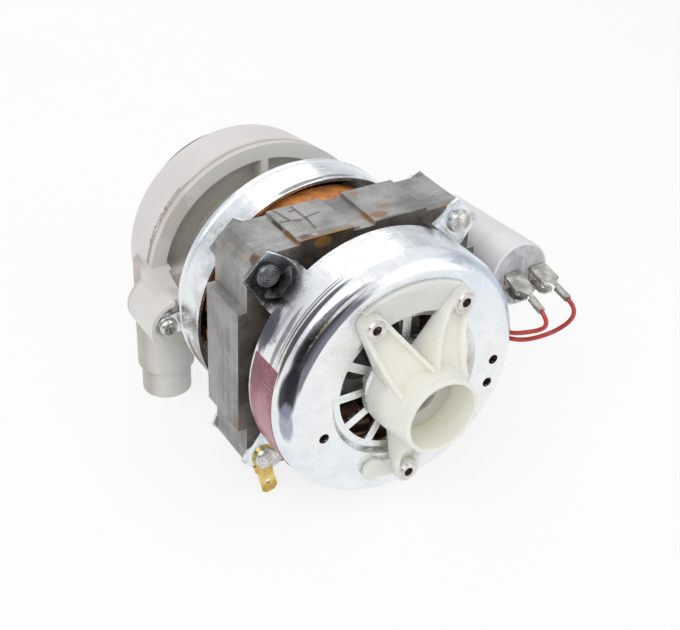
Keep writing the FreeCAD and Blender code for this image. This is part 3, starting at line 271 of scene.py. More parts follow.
def makeStrokeGroup():  # one straight stroke of a marker
    tree, given, result = newGroup("stroke", [
        ("Vector", vectorKind, None), ("From", vectorKind, None), ("To", vectorKind, None),
        ("Width", floatKind, 0.0006)], [("Mask", floatKind)])
    along = vecMath(tree, "SUBTRACT", given["To"], given["From"])
    here = vecMath(tree, "SUBTRACT", given["Vector"], given["From"])
    dot = vecMath(tree, "DOT_PRODUCT", here, along)
    square = vecMath(tree, "DOT_PRODUCT", along, along)
    part = calc(tree, "DIVIDE", dot, square, clamp=True)
    foot = vecMath(tree, "SCALE", along, scale=part)
    far = vecMath(tree, "DISTANCE", here, foot)
    noise = addNode(tree, "ShaderNodeTexNoise", {"Vector": given["Vector"], "Scale": 900.0, "Detail": 3.0})
    level = calc(tree, "ADD", calc(tree, "SUBTRACT", 1.0, calc(tree, "DIVIDE", far, given["Width"])),
                 calc(tree, "MULTIPLY", calc(tree, "SUBTRACT", noise.outputs[0], 0.5), 1.2))
    tree.links.new(mapRange(tree, level, 0.0, 0.5, "SMOOTHSTEP"), result["Mask"])
    return tree


groups = {"mottle": makeMottleGroup(), "scratches": makeScratchGroup(), "patch": makePatchGroup(),
          "grain": makeGrainGroup(), "toolRings": makeRingGroup(), "arcMark": makeArcGroup(),
          "stroke": makeStrokeGroup()}


def useGroup(tree, name, **inputs):
    node = tree.nodes.new("ShaderNodeGroup")
    node.node_tree = groups[name]
    for label, value in inputs.items():
        if isinstance(value, bpy.types.NodeSocket):
            tree.links.new(value, node.inputs[label])
        elif isinstance(value, tuple) and label in ("Dark", "Light"):
            node.inputs[label].default_value = (*value, 1.0)
        else:
            node.inputs[label].default_value = value
    return node.outputs


def startMaterial(name, **values):
    material = bpy.data.materials.new(name)
    material.use_nodes = True
    tree = material.node_tree
    shader = tree.nodes["Principled BSDF"]
    for label, value in values.items():
        socket = shader.inputs[label.replace("_", " ")]
        socket.default_value = (*value, 1.0) if isinstance(value, tuple) and len(value) == 3 \
            and socket.type == "RGBA" else value
    coords = tree.nodes.new("ShaderNodeTexCoord").outputs["Object"]
    return material, tree, shader, coords


def setBump(tree, shader, height, strength, distance):
    bump = addNode(tree, "ShaderNodeBump", {"Height": height, "Strength": strength, "Distance": distance})
    tree.links.new(bump.outputs[0], shader.inputs["Normal"])


def grainBump(tree, shader, coords, scale, strength, wave=0.3):
    height = useGroup(tree, "grain", Vector=coords, Scale=scale, Wave=wave)["Height"]
    setBump(tree, shader, height, strength, 0.0002)


def addPatches(tree, coords, color, patches):
    # Each patch: place in mm from the stack's middle, stretch, radius in mm, colour, strength, raggedness.
    for spot, stretch, radius, tone, strength, ragged in patches:
        mask = useGroup(tree, "patch", Vector=coords, Center=tuple(place(*spot)), Stretch=stretch,
                        Radius=radius * mm, Ragged=ragged)["Mask"]
        color = blendColor(tree, calc(tree, "MULTIPLY", mask, strength), color, tone)
    return color


def addArcs(tree, coords, color, arcs, centre=(0.0, 0.0)):
    # Each arc: middle angle, half its angle, radius, place along the shaft, width, colour, strength,
    # raggedness. Angles are degrees about the shaft, sizes are mm.
    coords = vecMath(tree, "SUBTRACT", coords, (centre[0] * mm, 0.0, centre[1] * mm))
    for angle, half, radius, along, width, tone, strength, ragged in arcs:
        mask = useGroup(tree, "arcMark", Vector=coords, Angle=math.radians(angle), Half=math.radians(half),
                        Radius=radius * mm, Along=(along + stackMiddle) * mm, Width=width * mm,
                        Ragged=ragged)["Mask"]
        color = blendColor(tree, calc(tree, "MULTIPLY", mask, strength), color, tone)
    return color


# Plain finishes: two tones, roughness range, scale of the tones, scratches, grain.
finishes = {
    "rotorSteel": {"dark": (0.20, 0.19, 0.18), "light": (0.36, 0.35, 0.34), "tones": 90.0,
                   "rough": (0.35, 0.55), "Metallic": 0.9, "scratch": 0.12, "grain": 1400.0, "bump": 0.15},
    "castAluminium": {"dark": (0.52, 0.52, 0.53), "light": (0.72, 0.72, 0.73), "tones": 140.0,
                      "rough": (0.35, 0.55), "Metallic": 1.0, "scratch": 0.06, "grain": 700.0, "bump": 0.3},
    "groundSteel": {"dark": (0.50, 0.50, 0.51), "light": (0.66, 0.66, 0.67), "tones": 160.0,
                    "rough": (0.18, 0.34), "Metallic": 1.0, "scratch": 0.15, "grain": 2200.0, "bump": 0.08},
    "sinteredBronze": {"dark": (0.34, 0.22, 0.10), "light": (0.52, 0.37, 0.19), "tones": 220.0,
                       "rough": (0.45, 0.65), "Metallic": 0.9, "scratch": 0.05, "grain": 2600.0,
                       "bump": 0.3},
    "springSteel": {"dark": (0.34, 0.34, 0.36), "light": (0.52, 0.52, 0.53), "tones": 120.0,
                    "rough": (0.28, 0.42), "Metallic": 1.0, "scratch": 0.12, "grain": 1600.0, "bump": 0.1},
    "earthBrass": {"dark": (0.47, 0.31, 0.07), "light": (0.83, 0.63, 0.24), "tones": 170.0,
                   "rough": (0.22, 0.42), "Metallic": 1.0, "scratch": 0.14, "grain": 1500.0, "bump": 0.12},
    "impellerPlastic": {"dark": (0.12, 0.12, 0.13), "light": (0.19, 0.19, 0.20), "tones": 90.0,
                        "rough": (0.38, 0.52), "Metallic": 0.0, "scratch": 0.05, "grain": 1200.0,
                        "bump": 0.12},
    "sealCeramic": {"dark": (0.78, 0.76, 0.70), "light": (0.88, 0.87, 0.82), "tones": 110.0,
                    "rough": (0.12, 0.24), "Metallic": 0.0, "scratch": 0.02, "grain": 1800.0, "bump": 0.05},
    "sealRubber": {"dark": (0.030, 0.030, 0.032), "light": (0.070, 0.070, 0.072), "tones": 130.0,
                   "rough": (0.5, 0.72), "Metallic": 0.0, "scratch": 0.03, "grain": 1500.0, "bump": 0.2},
    "collarRubber": {"dark": (0.020, 0.035, 0.060), "light": (0.055, 0.080, 0.125), "tones": 70.0,
                     "rough": (0.42, 0.66), "Metallic": 0.0, "scratch": 0.05, "grain": 1300.0, "bump": 0.2},
    "canPlastic": {"dark": (0.735, 0.710, 0.735), "light": (0.815, 0.790, 0.810), "tones": 45.0,
                   "rough": (0.34, 0.46), "Metallic": 0.0, "scratch": 0.05, "grain": 1500.0, "bump": 0.06},
    "lidPlastic": {"dark": (0.44, 0.43, 0.45), "light": (0.60, 0.59, 0.61), "tones": 240.0,
                   "rough": (0.42, 0.62), "Metallic": 0.0, "scratch": 0.06, "grain": 900.0, "bump": 0.25},
    "tinnedBrass": {"dark": (0.34, 0.33, 0.30), "light": (0.66, 0.65, 0.61), "tones": 260.0,
                    "rough": (0.2, 0.4), "Metallic": 1.0, "scratch": 0.12, "grain": 1600.0, "bump": 0.12},
    "bracketZinc": {"dark": (0.50, 0.52, 0.54), "light": (0.76, 0.78, 0.80), "tones": 120.0,
                    "rough": (0.22, 0.4), "Metallic": 1.0, "scratch": 0.12, "grain": 1300.0, "bump": 0.1},
    "platedSteel": {"dark": (0.42, 0.40, 0.37), "light": (0.78, 0.77, 0.74), "tones": 330.0,
                    "rough": (0.2, 0.38), "Metallic": 1.0, "scratch": 0.12, "grain": 1900.0, "bump": 0.1,
                    # painted dark reflection on the head of the upper left tie bolt
                    "darkReflections": [((-40.25, -15.5, 40.25), (1.0, 1.0, 1.0), 9.0, (0.11, 0.12, 0.13), 0.9,
                               0.3)]},
    "weldFlash": {"dark": (0.20, 0.15, 0.11), "light": (0.42, 0.35, 0.29), "tones": 500.0,
                  "rough": (0.5, 0.7), "Metallic": 0.0, "scratch": 0.02, "grain": 900.0, "bump": 0.2},
    "eyeletTin": {"dark": (0.58, 0.53, 0.52), "light": (0.84, 0.80, 0.79), "tones": 300.0,
                  "rough": (0.18, 0.34), "Metallic": 1.0, "scratch": 0.1, "grain": 1700.0, "bump": 0.08},
}


def plainFinish(name, spec):
    material, tree, shader, coords = startMaterial(name, Metallic=spec["Metallic"])
    tone = useGroup(tree, "mottle", Vector=coords, Scale=spec["tones"], Low=0.32, High=0.68,
                    Dark=spec["dark"], Light=spec["light"])
    marks = useGroup(tree, "scratches", Vector=coords, Scale=38.0, Amount=spec["scratch"])["Mask"]
    pale = tuple(min(1.0, c * 1.25 + 0.02) for c in spec["light"])
    color = blendColor(tree, calc(tree, "MULTIPLY", marks, 0.3), tone["Color"], pale)
    # painted dark reflections, where a finish lists them
    color = addPatches(tree, coords, color, spec.get("darkReflections", ()))
    tree.links.new(color, shader.inputs["Base Color"])
    low, high = spec["rough"]
    rough = calc(tree, "MULTIPLY_ADD", tone["Mask"], low - high, high)
    tree.links.new(calc(tree, "MULTIPLY_ADD", marks, 0.12, rough), shader.inputs["Roughness"])
    grainBump(tree, shader, coords, spec["grain"], spec["bump"])
    return material


materials = {name: plainFinish(name, spec) for name, spec in finishes.items()}


# Bright zinc on the two pressed drums, with spangle, press marks, smears, painted reflections and painted shade
zincLook = {"plain": (0.90, 0.92, 0.93), "cool": (0.79, 0.85, 0.92), "warm": (0.89, 0.88, 0.82),
            "violet": (0.80, 0.80, 0.87), "rimDark": (0.20, 0.19, 0.18), "spangle": 260.0}


# Painted highlights on the edges of the upper left ear, whose dark face is a painted reflection: both ends of
# each, as X and Z in mm.
earHighlightLines = [
    ((-49.1, 39.8), (-40.2, 49.4)),
    ((-40.2, 49.4), (-32.6, 45.0)),
    ((-32.6, 45.0), (-28.4, 40.4)),
    ((-49.1, 39.8), (-41.6, 28.6))]


def addStrokes(tree, coords, color, strokes, tone, width, strength):
    for start, end in strokes:
        mask = useGroup(tree, "stroke", Vector=coords, From=tuple(place(*start)), To=tuple(place(*end)),
                        Width=width * mm)["Mask"]
        color = blendColor(tree, calc(tree, "MULTIPLY", mask, strength), color, tone)
    return color


def zincFinish(name, patches, arcs, rimDarkBand):
    material, tree, shader, coords = startMaterial(name, Metallic=1.0)
    cells = addNode(tree, "ShaderNodeTexVoronoi", {"Vector": coords, "Scale": zincLook["spangle"]})
    cellTone = addNode(tree, "ShaderNodeSeparateColor", {0: cells.outputs["Color"]}).outputs[0]
    cool = useGroup(tree, "mottle", Vector=coords, Scale=22.0, Detail=3.0, Low=0.45, High=0.7,
                    Dark=zincLook["plain"], Light=zincLook["cool"])["Color"]
    warmMask = useGroup(tree, "mottle", Vector=coords, Scale=34.0, Detail=5.0, Low=0.56, High=0.74)["Mask"]
    color = blendColor(tree, calc(tree, "MULTIPLY", warmMask, 0.3), cool, zincLook["warm"])
    violetMask = useGroup(tree, "mottle", Vector=coords, Scale=51.0, Detail=6.0, Low=0.6, High=0.72)["Mask"]
    color = blendColor(tree, calc(tree, "MULTIPLY", violetMask, 0.2), color, zincLook["violet"])
    shade = calc(tree, "MULTIPLY_ADD", cellTone, 0.07, 0.93)
    color = blendColor(tree, 1.0, color, greyOf(tree, shade), "MULTIPLY")
    color = addPatches(tree, coords, color, patches)
    # painted highlights along the upper left ear's edges
    color = addStrokes(tree, coords, color,
                       [((x0, earFace, z0), (x1, earFace, z1)) for (x0, z0), (x1, z1) in earHighlightLines],
                       (0.80, 0.83, 0.86), 0.55, 0.9)
    color = addArcs(tree, coords, color, arcs)
    rings = useGroup(tree, "toolRings", Vector=coords)
    parts = splitVector(tree, coords)
    # darker in ragged patches towards the rim by the stack
    nearRim = mapRange(tree, parts[1], (rimDarkBand[0] + stackMiddle) * mm, (rimDarkBand[1] + stackMiddle) * mm)
    ragged = useGroup(tree, "mottle", Vector=coords, Scale=120.0, Detail=6.0, Low=0.42, High=0.62)["Mask"]
    color = blendColor(tree, calc(tree, "MULTIPLY", calc(tree, "MULTIPLY", nearRim, ragged), 0.5), color,
                       zincLook["rimDark"])
    tree.links.new(color, shader.inputs["Base Color"])
    marks = useGroup(tree, "scratches", Vector=coords, Scale=26.0, Amount=0.13)["Mask"]
    rough = calc(tree, "MULTIPLY_ADD", cellTone, 0.05, 0.19)
    rough = calc(tree, "MULTIPLY_ADD", marks, 0.2, rough)
    rough = calc(tree, "MULTIPLY_ADD", ragged, 0.07, rough)
    tree.links.new(rough, shader.inputs["Roughness"])
    height = useGroup(tree, "grain", Vector=coords, Scale=420.0, Wave=1.6)["Height"]
    height = calc(tree, "ADD", height, calc(tree, "MULTIPLY", rings["Mask"], 0.18))
    height = calc(tree, "SUBTRACT", height, calc(tree, "MULTIPLY", marks, 0.25))
    setBump(tree, shader, height, 0.06, 0.0004)
    return material


# painted reflections on the dark upper left ear and dark streaks down the left side, painted shade in the
# middle behind the spider, and a few grey and brownish smears
frontReflectionsShadeAndSmears = [((-44, -22, 24), (1.0, 1.0, 1.0), 7.0, (0.16, 0.15, 0.15), 0.7, 0.8),
               ((-40, -34, 20), (1.0, 1.8, 1.0), 10.0, (0.46, 0.40, 0.26), 0.4, 0.9),
               ((-6, -18, 50), (0.5, 1.5, 1.0), 8.0, (0.45, 0.42, 0.40), 0.4, 0.9),
               ((-38.5, -13.4, 38.5), (1.0, 1.0, 1.0), 13.5, (0.030, 0.034, 0.042), 0.93, 0.12),
               ((-31.5, -15.5, 34.5), (1.0, 1.0, 1.0), 4.0, (0.16, 0.20, 0.22), 0.8, 0.25),
               ((-36, -17, 31), (1.0, 1.0, 1.0), 5.0, (0.030, 0.034, 0.036), 0.85, 0.5),
               ((33, -14, 37), (1.0, 1.0, 1.0), 5.0, (0.55, 0.47, 0.40), 0.4, 0.8),
               ((0, -46, 0), (1.0, 1.0, 1.0), 11.0, (0.05, 0.05, 0.045), 0.92, 0.2)]
nearBlack, slate, plum = (0.03, 0.03, 0.035), (0.13, 0.13, 0.17), (0.30, 0.24, 0.36)
# painted reflections: dark, bluish and pale bands round the front drum's shoulder and down its left wall, and
# thin grey lines along its top
frontReflectionArcs = [
    (143, 37, 48.0, -41.6, 3.3, nearBlack, 0.95, 0.22),
    (168, 15, 48.2, -41.4, 3.9, nearBlack, 0.95, 0.2),
    (140, 34, 45.2, -43.0, 1.7, slate, 0.9, 0.35),
    (183, 12, 47.9, -41.6, 3.0, (0.30, 0.33, 0.42), 0.8, 0.4),
    (132, 20, 47.6, -41.9, 0.6, (0.55, 0.50, 0.42), 0.85, 0.4),
    (118, 16, 47.6, -41.9, 0.8, (0.74, 0.74, 0.74), 0.85, 0.4),
    (140, 30, 50.45, -36.8, 1.3, (0.06, 0.06, 0.065), 0.92, 0.35),
    (138, 28, 50.5, -34.6, 0.45, nearBlack, 0.85, 0.4),
    (136, 26, 50.5, -33.4, 0.35, slate, 0.8, 0.5),
    (150, 16, 50.4, -31.0, 1.5, slate, 0.7, 0.8),
    (151, 13, 50.4, -22.5, 4.2, (0.07, 0.07, 0.11), 0.88, 0.6),
    (146, 10, 50.4, -27.0, 1.6, plum, 0.4, 0.8),
    (104, 12, 50.4, -30.5, 0.5, (0.35, 0.34, 0.33), 0.7, 0.9),
    (96, 10, 50.4, -27.5, 0.4, (0.35, 0.34, 0.33), 0.7, 0.9),
    (99, 9, 50.4, -23.5, 0.4, (0.30, 0.29, 0.28), 0.7, 1.0),
    (62, 26, 47.6, -39.4, 2.6, (0.50, 0.58, 0.68), 0.6, 0.4),
    (30, 34, 47.8, -40.4, 3.0, (0.47, 0.55, 0.68), 0.7, 0.4)]
# darker patches on the rear drum: a bluish grey one on the upper left and a dark one low on the left by the rim
rearDarkPatches = [((-36, 24, 36), (1.0, 1.4, 1.0), 12.0, (0.50, 0.52, 0.56), 0.4, 0.9),
              ((-48, 22, -10), (1.0, 1.4, 0.5), 9.0, (0.22, 0.20, 0.19), 0.6, 1.0)]
# dark bands on top by the rim, two thin grey groove lines, and painted shade as a wide dark band low on the
# left
rearArcs = [
    (98, 14, 50.4, 21.8, 1.4, nearBlack, 0.8, 0.8),
    (80, 14, 50.4, 22.5, 1.0, slate, 0.7, 0.8),
    (112, 30, 50.2, 34.2, 0.5, (0.34, 0.36, 0.38), 0.7, 0.4),
    (150, 34, 50.2, 34.2, 0.5, (0.34, 0.36, 0.38), 0.6, 0.4),
    (212, 24, 50.4, 30.0, 5.0, (0.08, 0.08, 0.08), 0.8, 0.6)]
materials["frontZinc"] = zincFinish("frontZinc", frontReflectionsShadeAndSmears, frontReflectionArcs, (-30.0, -18.0))
materials["rearZinc"] = zincFinish("rearZinc", rearDarkPatches, rearArcs, (31.0, 17.0))


# Lamination steel with rust along the block edges
def laminationFinish():
    material, tree, shader, coords = startMaterial("laminationSteel", Metallic=0.35)
    tone = useGroup(tree, "mottle", Vector=coords, Scale=70.0, Detail=6.0, Low=0.34, High=0.66,
                    Dark=(0.235, 0.232, 0.225), Light=(0.40, 0.395, 0.385))
    sheetTone = addNode(tree, "ShaderNodeAttribute", attribute_name="sheetTone").outputs["Fac"]
    shade = calc(tree, "MULTIPLY_ADD", sheetTone, 0.22, 0.86)
    color = blendColor(tree, 1.0, tone["Color"], greyOf(tree, shade), "MULTIPLY")
    tint = calc(tree, "SINE", calc(tree, "MULTIPLY", sheetTone, 37.0))
    parts = splitVector(tree, coords)
    onLeft = calc(tree, "LESS_THAN", parts[0], leftFace * mm)
    color = blendColor(tree, calc(tree, "MULTIPLY", onLeft,
                                  calc(tree, "MULTIPLY", tint, 0.3, clamp=True)), color,
                       (0.50, 0.40, 0.42))
    color = blendColor(tree, calc(tree, "MULTIPLY", onLeft,
                                  calc(tree, "MULTIPLY", tint, -0.3, clamp=True)), color,
                       (0.33, 0.40, 0.34))
    specks = useGroup(tree, "mottle", Vector=coords, Scale=700.0, Detail=3.0, Low=0.62, High=0.7)["Mask"]
    color = blendColor(tree, calc(tree, "MULTIPLY", specks, 0.45), color, (0.12, 0.095, 0.075))
    rust, brown, ochre = (0.30, 0.135, 0.045), (0.085, 0.05, 0.03), (0.38, 0.20, 0.05)
    strokes = [((-24.1, 11.5), (-22.4, 3.0)), ((-25.5, 2.9), (-18.7, 1.1)), ((-17.0, 10.8), (-16.3, -0.2)),
               ((-16.3, -0.2), (-17.0, -5.9)), ((-16.5, 1.7), (-10.4, 3.0)), ((-19.2, 7.9), (-16.8, 8.1))]
    color = addStrokes(tree, coords, color,
                       [((x0, y0, blockTop), (x1, y1, blockTop)) for (x0, y0), (x1, y1) in strokes],
                       brown, 0.8, 0.66)
    rusty = [((-22, -11.9, 48.5), (0.2, 1.0, 1.0), 1.7, rust, 0.7, 0.9),
             ((-10, -12.0, 48.5), (0.15, 1.0, 1.0), 1.9, ochre, 0.75, 0.8),
             ((-23.5, -9.6, 48.5), (0.7, 1.0, 1.0), 1.9, brown, 0.7, 1.0),
             ((-19, -9.9, 48.5), (1.0, 1.3, 1.0), 1.5, (0.62, 0.47, 0.42), 0.7, 0.8),
             ((12, -11.9, 48.5), (0.2, 1.0, 1.0), 1.4, brown, 0.6, 0.9),
             ((8.5, -8.2, 48.5), (0.55, 1.0, 1.0), 2.6, rust, 0.85, 0.25),
             ((13.6, -3.6, 48.5), (0.8, 1.5, 1.0), 1.9, ochre, 0.6, 0.3),
             ((8.0, 9.0, 48.5), (0.6, 1.0, 1.0), 1.8, rust, 0.4, 0.8),
             ((-26.8, -6, 47.2), (2.0, 0.3, 1.0), 2.0, rust, 0.85, 0.6),
             ((-26.9, 3, 47.0), (2.0, 0.22, 1.0), 1.4, brown, 0.8, 0.6),
             ((4.3, -6, 47.2), (2.0, 0.3, 1.0), 1.8, ochre, 0.8, 0.6),
             ((-3.6, -11, 46.9), (0.6, 1.0, 1.0), 1.8, brown, 0.7, 0.8),
             ((-40, -11.8, 46.5), (0.4, 1.0, 1.0), 2.2, ochre, 0.75, 0.7),
             ((-43.5, -11.0, 45.3), (1.0, 0.8, 1.0), 2.4, brown, 0.75, 0.8),
             ((-44.8, -5, 44.2), (1.0, 0.22, 1.0), 1.1, (0.50, 0.36, 0.27), 0.5, 1.0),
             ((-44.8, 4, 44.2), (1.0, 0.3, 1.0), 1.0, (0.40, 0.27, 0.19), 0.5, 1.0),
             ((-46.8, -10.6, 39), (1.0, 0.9, 0.35), 1.8, (0.56, 0.46, 0.42), 0.6, 1.0),
             ((-50.5, -11, -24), (1.0, 0.8, 0.6), 4.0, rust, 0.35, 1.0),
             ((38, -11.8, 47), (0.3, 1.0, 1.0), 2.0, ochre, 0.8, 0.6)]
    color = addPatches(tree, coords, color, rusty)
    # painted shade: the stack's front face, in the gap to the front drum, is painted near black with dark
    # grime, and an ochre patch
    onFace = calc(tree, "LESS_THAN", parts[1], (stackMiddle - 11.9) * mm)
    frontFaceShadeAndGrime = useGroup(tree, "mottle", Vector=coords, Scale=90.0, Detail=5.0, Low=0.3, High=0.7,
                     Dark=(0.035, 0.022, 0.012), Light=(0.16, 0.14, 0.12))["Color"]
    ochreSpot = useGroup(tree, "patch", Vector=coords, Center=tuple(place(-17, -12, 46)), Radius=3.5 * mm,
                         Stretch=(0.8, 1.0, 1.3), Ragged=0.3)["Mask"]
    frontFaceShadeAndGrime = blendColor(tree, calc(tree, "MULTIPLY", ochreSpot, 0.8), frontFaceShadeAndGrime, (0.42, 0.20, 0.03))
    color = blendColor(tree, calc(tree, "MULTIPLY", onFace, 0.88), color, frontFaceShadeAndGrime)
    tree.links.new(color, shader.inputs["Base Color"])
    marks = useGroup(tree, "scratches", Vector=coords, Scale=30.0, Amount=0.12)["Mask"]
    rough = calc(tree, "MULTIPLY_ADD", tone["Mask"], -0.12, 0.56)
    tree.links.new(calc(tree, "MULTIPLY_ADD", marks, -0.1, rough), shader.inputs["Roughness"])
    grainBump(tree, shader, coords, 1100.0, 0.25)
    return material


materials["laminationSteel"] = laminationFinish()


def copperFinish(name, dark, light, metal):
    material, tree, shader, coords = startMaterial(name, Metallic=metal, Coat_Weight=0.4,
                                                   Coat_Roughness=0.2)
    tone = useGroup(tree, "mottle", Vector=coords, Scale=110.0, Low=0.35, High=0.65, Dark=dark, Light=light)
    tree.links.new(tone["Color"], shader.inputs["Base Color"])
    tree.links.new(calc(tree, "MULTIPLY_ADD", tone["Mask"], -0.15, 0.42), shader.inputs["Roughness"])
    grainBump(tree, shader, coords, 1500.0, 0.1)
    return material


materials["enamelledCopper"] = copperFinish("enamelledCopper", (0.50, 0.15, 0.025), (0.95, 0.40, 0.09), 0.1)
materials["varnishedCopper"] = copperFinish("varnishedCopper", (0.07, 0.032, 0.018), (0.24, 0.10, 0.045),
                                            0.5)


def labelFinish():
    material, tree, shader, coords = startMaterial("burgundyFilm", Coat_Weight=0.25, Coat_Roughness=0.2)
    tone = useGroup(tree, "mottle", Vector=coords, Scale=40.0, Low=0.3, High=0.7,
                    Dark=(0.20, 0.035, 0.065), Light=(0.36, 0.10, 0.14))
    specks = useGroup(tree, "mottle", Vector=coords, Scale=520.0, Detail=2.0, Low=0.64, High=0.7)["Mask"]
    color = blendColor(tree, calc(tree, "MULTIPLY", specks, 0.35), tone["Color"], (0.62, 0.45, 0.47))
    marks = useGroup(tree, "scratches", Vector=coords, Scale=40.0, Amount=0.16)["Mask"]
    color = blendColor(tree, calc(tree, "MULTIPLY", marks, 0.3), color, (0.66, 0.5, 0.52))
    color = addPatches(tree, coords, color,
                       [((-48, -24, 8), (1.0, 1.0, 0.6), 7.0, (0.13, 0.03, 0.05), 0.6, 0.7),
                                             ((-48, -30, -8), (1.0, 1.0, 0.5), 8.0, (0.52, 0.24, 0.29),
                                              0.5, 0.5)])
    tree.links.new(color, shader.inputs["Base Color"])
    tree.links.new(calc(tree, "MULTIPLY_ADD", marks, 0.25, 0.36), shader.inputs["Roughness"])
    grainBump(tree, shader, coords, 600.0, 0.08)
    return material


materials["burgundyFilm"] = labelFinish()


def moulded(name, dark, light, patches, rough, bump, specks=0.25, scatter=0.0, recessShade=None, arcs=(),
            **values):
    # Off-white moulding: faint clouding, dust specks, handling marks and a light grain.
    material, tree, shader, coords = startMaterial(name, **values)
    if scatter:
        shader.inputs["Subsurface Weight"].default_value = scatter
    tone = useGroup(tree, "mottle", Vector=coords, Scale=18.0, Detail=5.0, Low=0.3, High=0.7,
                    Dark=dark, Light=light)
    dots = useGroup(tree, "mottle", Vector=coords, Scale=640.0, Detail=2.0, Low=0.69, High=0.74)["Mask"]
    color = blendColor(tree, calc(tree, "MULTIPLY", dots, specks), tone["Color"],
                       tuple(c * 0.55 for c in dark))
    marks = useGroup(tree, "scratches", Vector=coords, Scale=22.0, Amount=0.1)["Mask"]
    color = blendColor(tree, calc(tree, "MULTIPLY", marks, 0.16), color, tuple(c * 0.72 for c in dark))
    if recessShade:  # painted shade: the open back is darker the deeper it goes
        along = splitVector(tree, coords)[1]
        depth = mapRange(tree, along, (recessShade["from"] + stackMiddle) * mm, (recessShade["to"] + stackMiddle) * mm)
        cloud = useGroup(tree, "mottle", Vector=coords, Scale=60.0, Detail=6.0, Low=0.3, High=0.7)["Mask"]
        shade = calc(tree, "MULTIPLY", depth, calc(tree, "MULTIPLY_ADD", cloud, 0.3, 0.55))
        color = blendColor(tree, shade, color, recessShade["tone"])
    color = addPatches(tree, coords, color, patches)
    color = addArcs(tree, coords, color, arcs, casingCentre)
    tree.links.new(color, shader.inputs["Base Color"])
    low, high = rough
    tree.links.new(calc(tree, "MULTIPLY_ADD", tone["Mask"], low - high, high), shader.inputs["Roughness"])
    grainBump(tree, shader, coords, 1000.0, bump, wave=0.8)
    return material


seamBrown = (0.42, 0.36, 0.31)
seamArcs = [
    (100, 400, 49.1, 62.45, 0.42, (0.16, 0.125, 0.10), 0.85, 0.35),
    (92, 34, 49.0, 63.7, 1.5, (0.60, 0.51, 0.46), 0.6, 0.9),
    (140, 16, 49.0, 63.3, 0.9, (0.42, 0.36, 0.31), 0.6, 0.9),
    (174, 20, 48.9, 63.2, 1.4, (0.34, 0.31, 0.26), 0.8, 0.6),
    (60, 26, 49.0, 63.5, 1.4, (0.66, 0.54, 0.49), 0.6, 0.9)]
# the patch by the seam is a brown weld stain; painted shade on two patches deep in the recess, and a painted
# shadow in the dark gap to the rear drum on the left
bodyStainAndShadePatches = [((-40, 58, 26), (1.0, 1.6, 0.5), 8.0, seamBrown, 0.35, 0.9),
               ((-22, 66, 20), (0.8, 1.0, 0.8), 13.0, (0.52, 0.50, 0.44), 0.5, 0.9),
               ((16, 66, 26), (0.6, 1.0, 0.8), 13.0, (0.55, 0.53, 0.46), 0.45, 0.9),
               ((-54, 44, -9), (1.0, 0.8, 1.0), 7.0, (0.16, 0.15, 0.14), 0.4, 0.9)]
materials["capPlastic"] = moulded("capPlastic", (0.69, 0.655, 0.645), (0.77, 0.735, 0.725), (),
                                  (0.34, 0.46), 0.08, arcs=seamArcs)
materials["bodyPlastic"] = moulded("bodyPlastic", (0.67, 0.65, 0.62), (0.76, 0.74, 0.71), bodyStainAndShadePatches,
                                   (0.34, 0.46), 0.08, arcs=seamArcs[:1],
                                   # painted shade in the recess, darker the deeper it goes
                                   recessShade={"from": 58.8, "to": 63.0, "tone": (0.40, 0.37, 0.32)})
spiderPatches = [((18, -52, 28), (1, 1, 1), 6.0, (0.70, 0.69, 0.59), 0.4, 0.6),
                 ((0, -54, 8), (1, 1, 1), 11.0, (0.62, 0.60, 0.49), 0.35, 0.7),
                 ((-20, -46, 38), (1, 1, 1), 6.0, (0.46, 0.45, 0.38), 0.35, 0.8)]
materials["spiderNylon"] = moulded("spiderNylon", (0.78, 0.77, 0.67), (0.88, 0.87, 0.78), spiderPatches,
                                   (0.26, 0.38), 0.05, specks=0.08, scatter=0.7,
                                   Subsurface_Radius=(0.010, 0.0098, 0.0078), Subsurface_Scale=1.0)


def leadFinish():
    material, tree, shader, coords = startMaterial("redInsulation", Coat_Weight=0.4, Coat_Roughness=0.12)
    tone = useGroup(tree, "mottle", Vector=coords, Scale=120.0, Low=0.3, High=0.7,
                    Dark=(0.34, 0.014, 0.010), Light=(0.54, 0.030, 0.022))
    marks = useGroup(tree, "scratches", Vector=coords, Scale=60.0, Amount=0.1)["Mask"]
    tree.links.new(blendColor(tree, calc(tree, "MULTIPLY", marks, 0.3), tone["Color"], (0.66, 0.12, 0.12)),
                   shader.inputs["Base Color"])
    tree.links.new(calc(tree, "MULTIPLY_ADD", tone["Mask"], -0.08, 0.34), shader.inputs["Roughness"])
    grainBump(tree, shader, coords, 1400.0, 0.08)
    return material


materials["redInsulation"] = leadFinish()

nodeFinishes = {
    "laminationSteel": ["stator_core"], "varnishedCopper": ["main_winding", "start_winding"],
    "rotorSteel": ["rotor_core"], "castAluminium": ["rotor_cage"], "groundSteel": ["shaft"],
    "sinteredBronze": ["front_bush", "rear_bush"],
    "springSteel": ["front_bush_retainer", "rear_bush_retainer", "thrust_washers", "retaining_rings"],
    "frontZinc": ["front_end_shield"], "rearZinc": ["rear_end_shield"],
    "platedSteel": ["tie_bolts", "tie_nuts", "pump_screws", "capacitor_nut"],
    "earthBrass": ["earth_terminal"],
    "burgundyFilm": ["rating_label"], "spiderNylon": ["tail_spider"], "eyeletTin": ["spider_eyelets"],
    "bodyPlastic": ["pump_body"], "capPlastic": ["pump_cap"], "collarRubber": ["inlet_collar"],
    "impellerPlastic": ["impeller"], "sealCeramic": ["seal_seat"],
    "sealRubber": ["seal_head", "water_slinger"],
    "canPlastic": ["capacitor_can"], "lidPlastic": ["capacitor_lid"],
    "tinnedBrass": ["capacitor_terminals", "lead_receptacle_1", "lead_receptacle_2"],
    "bracketZinc": ["capacitor_bracket"],
}
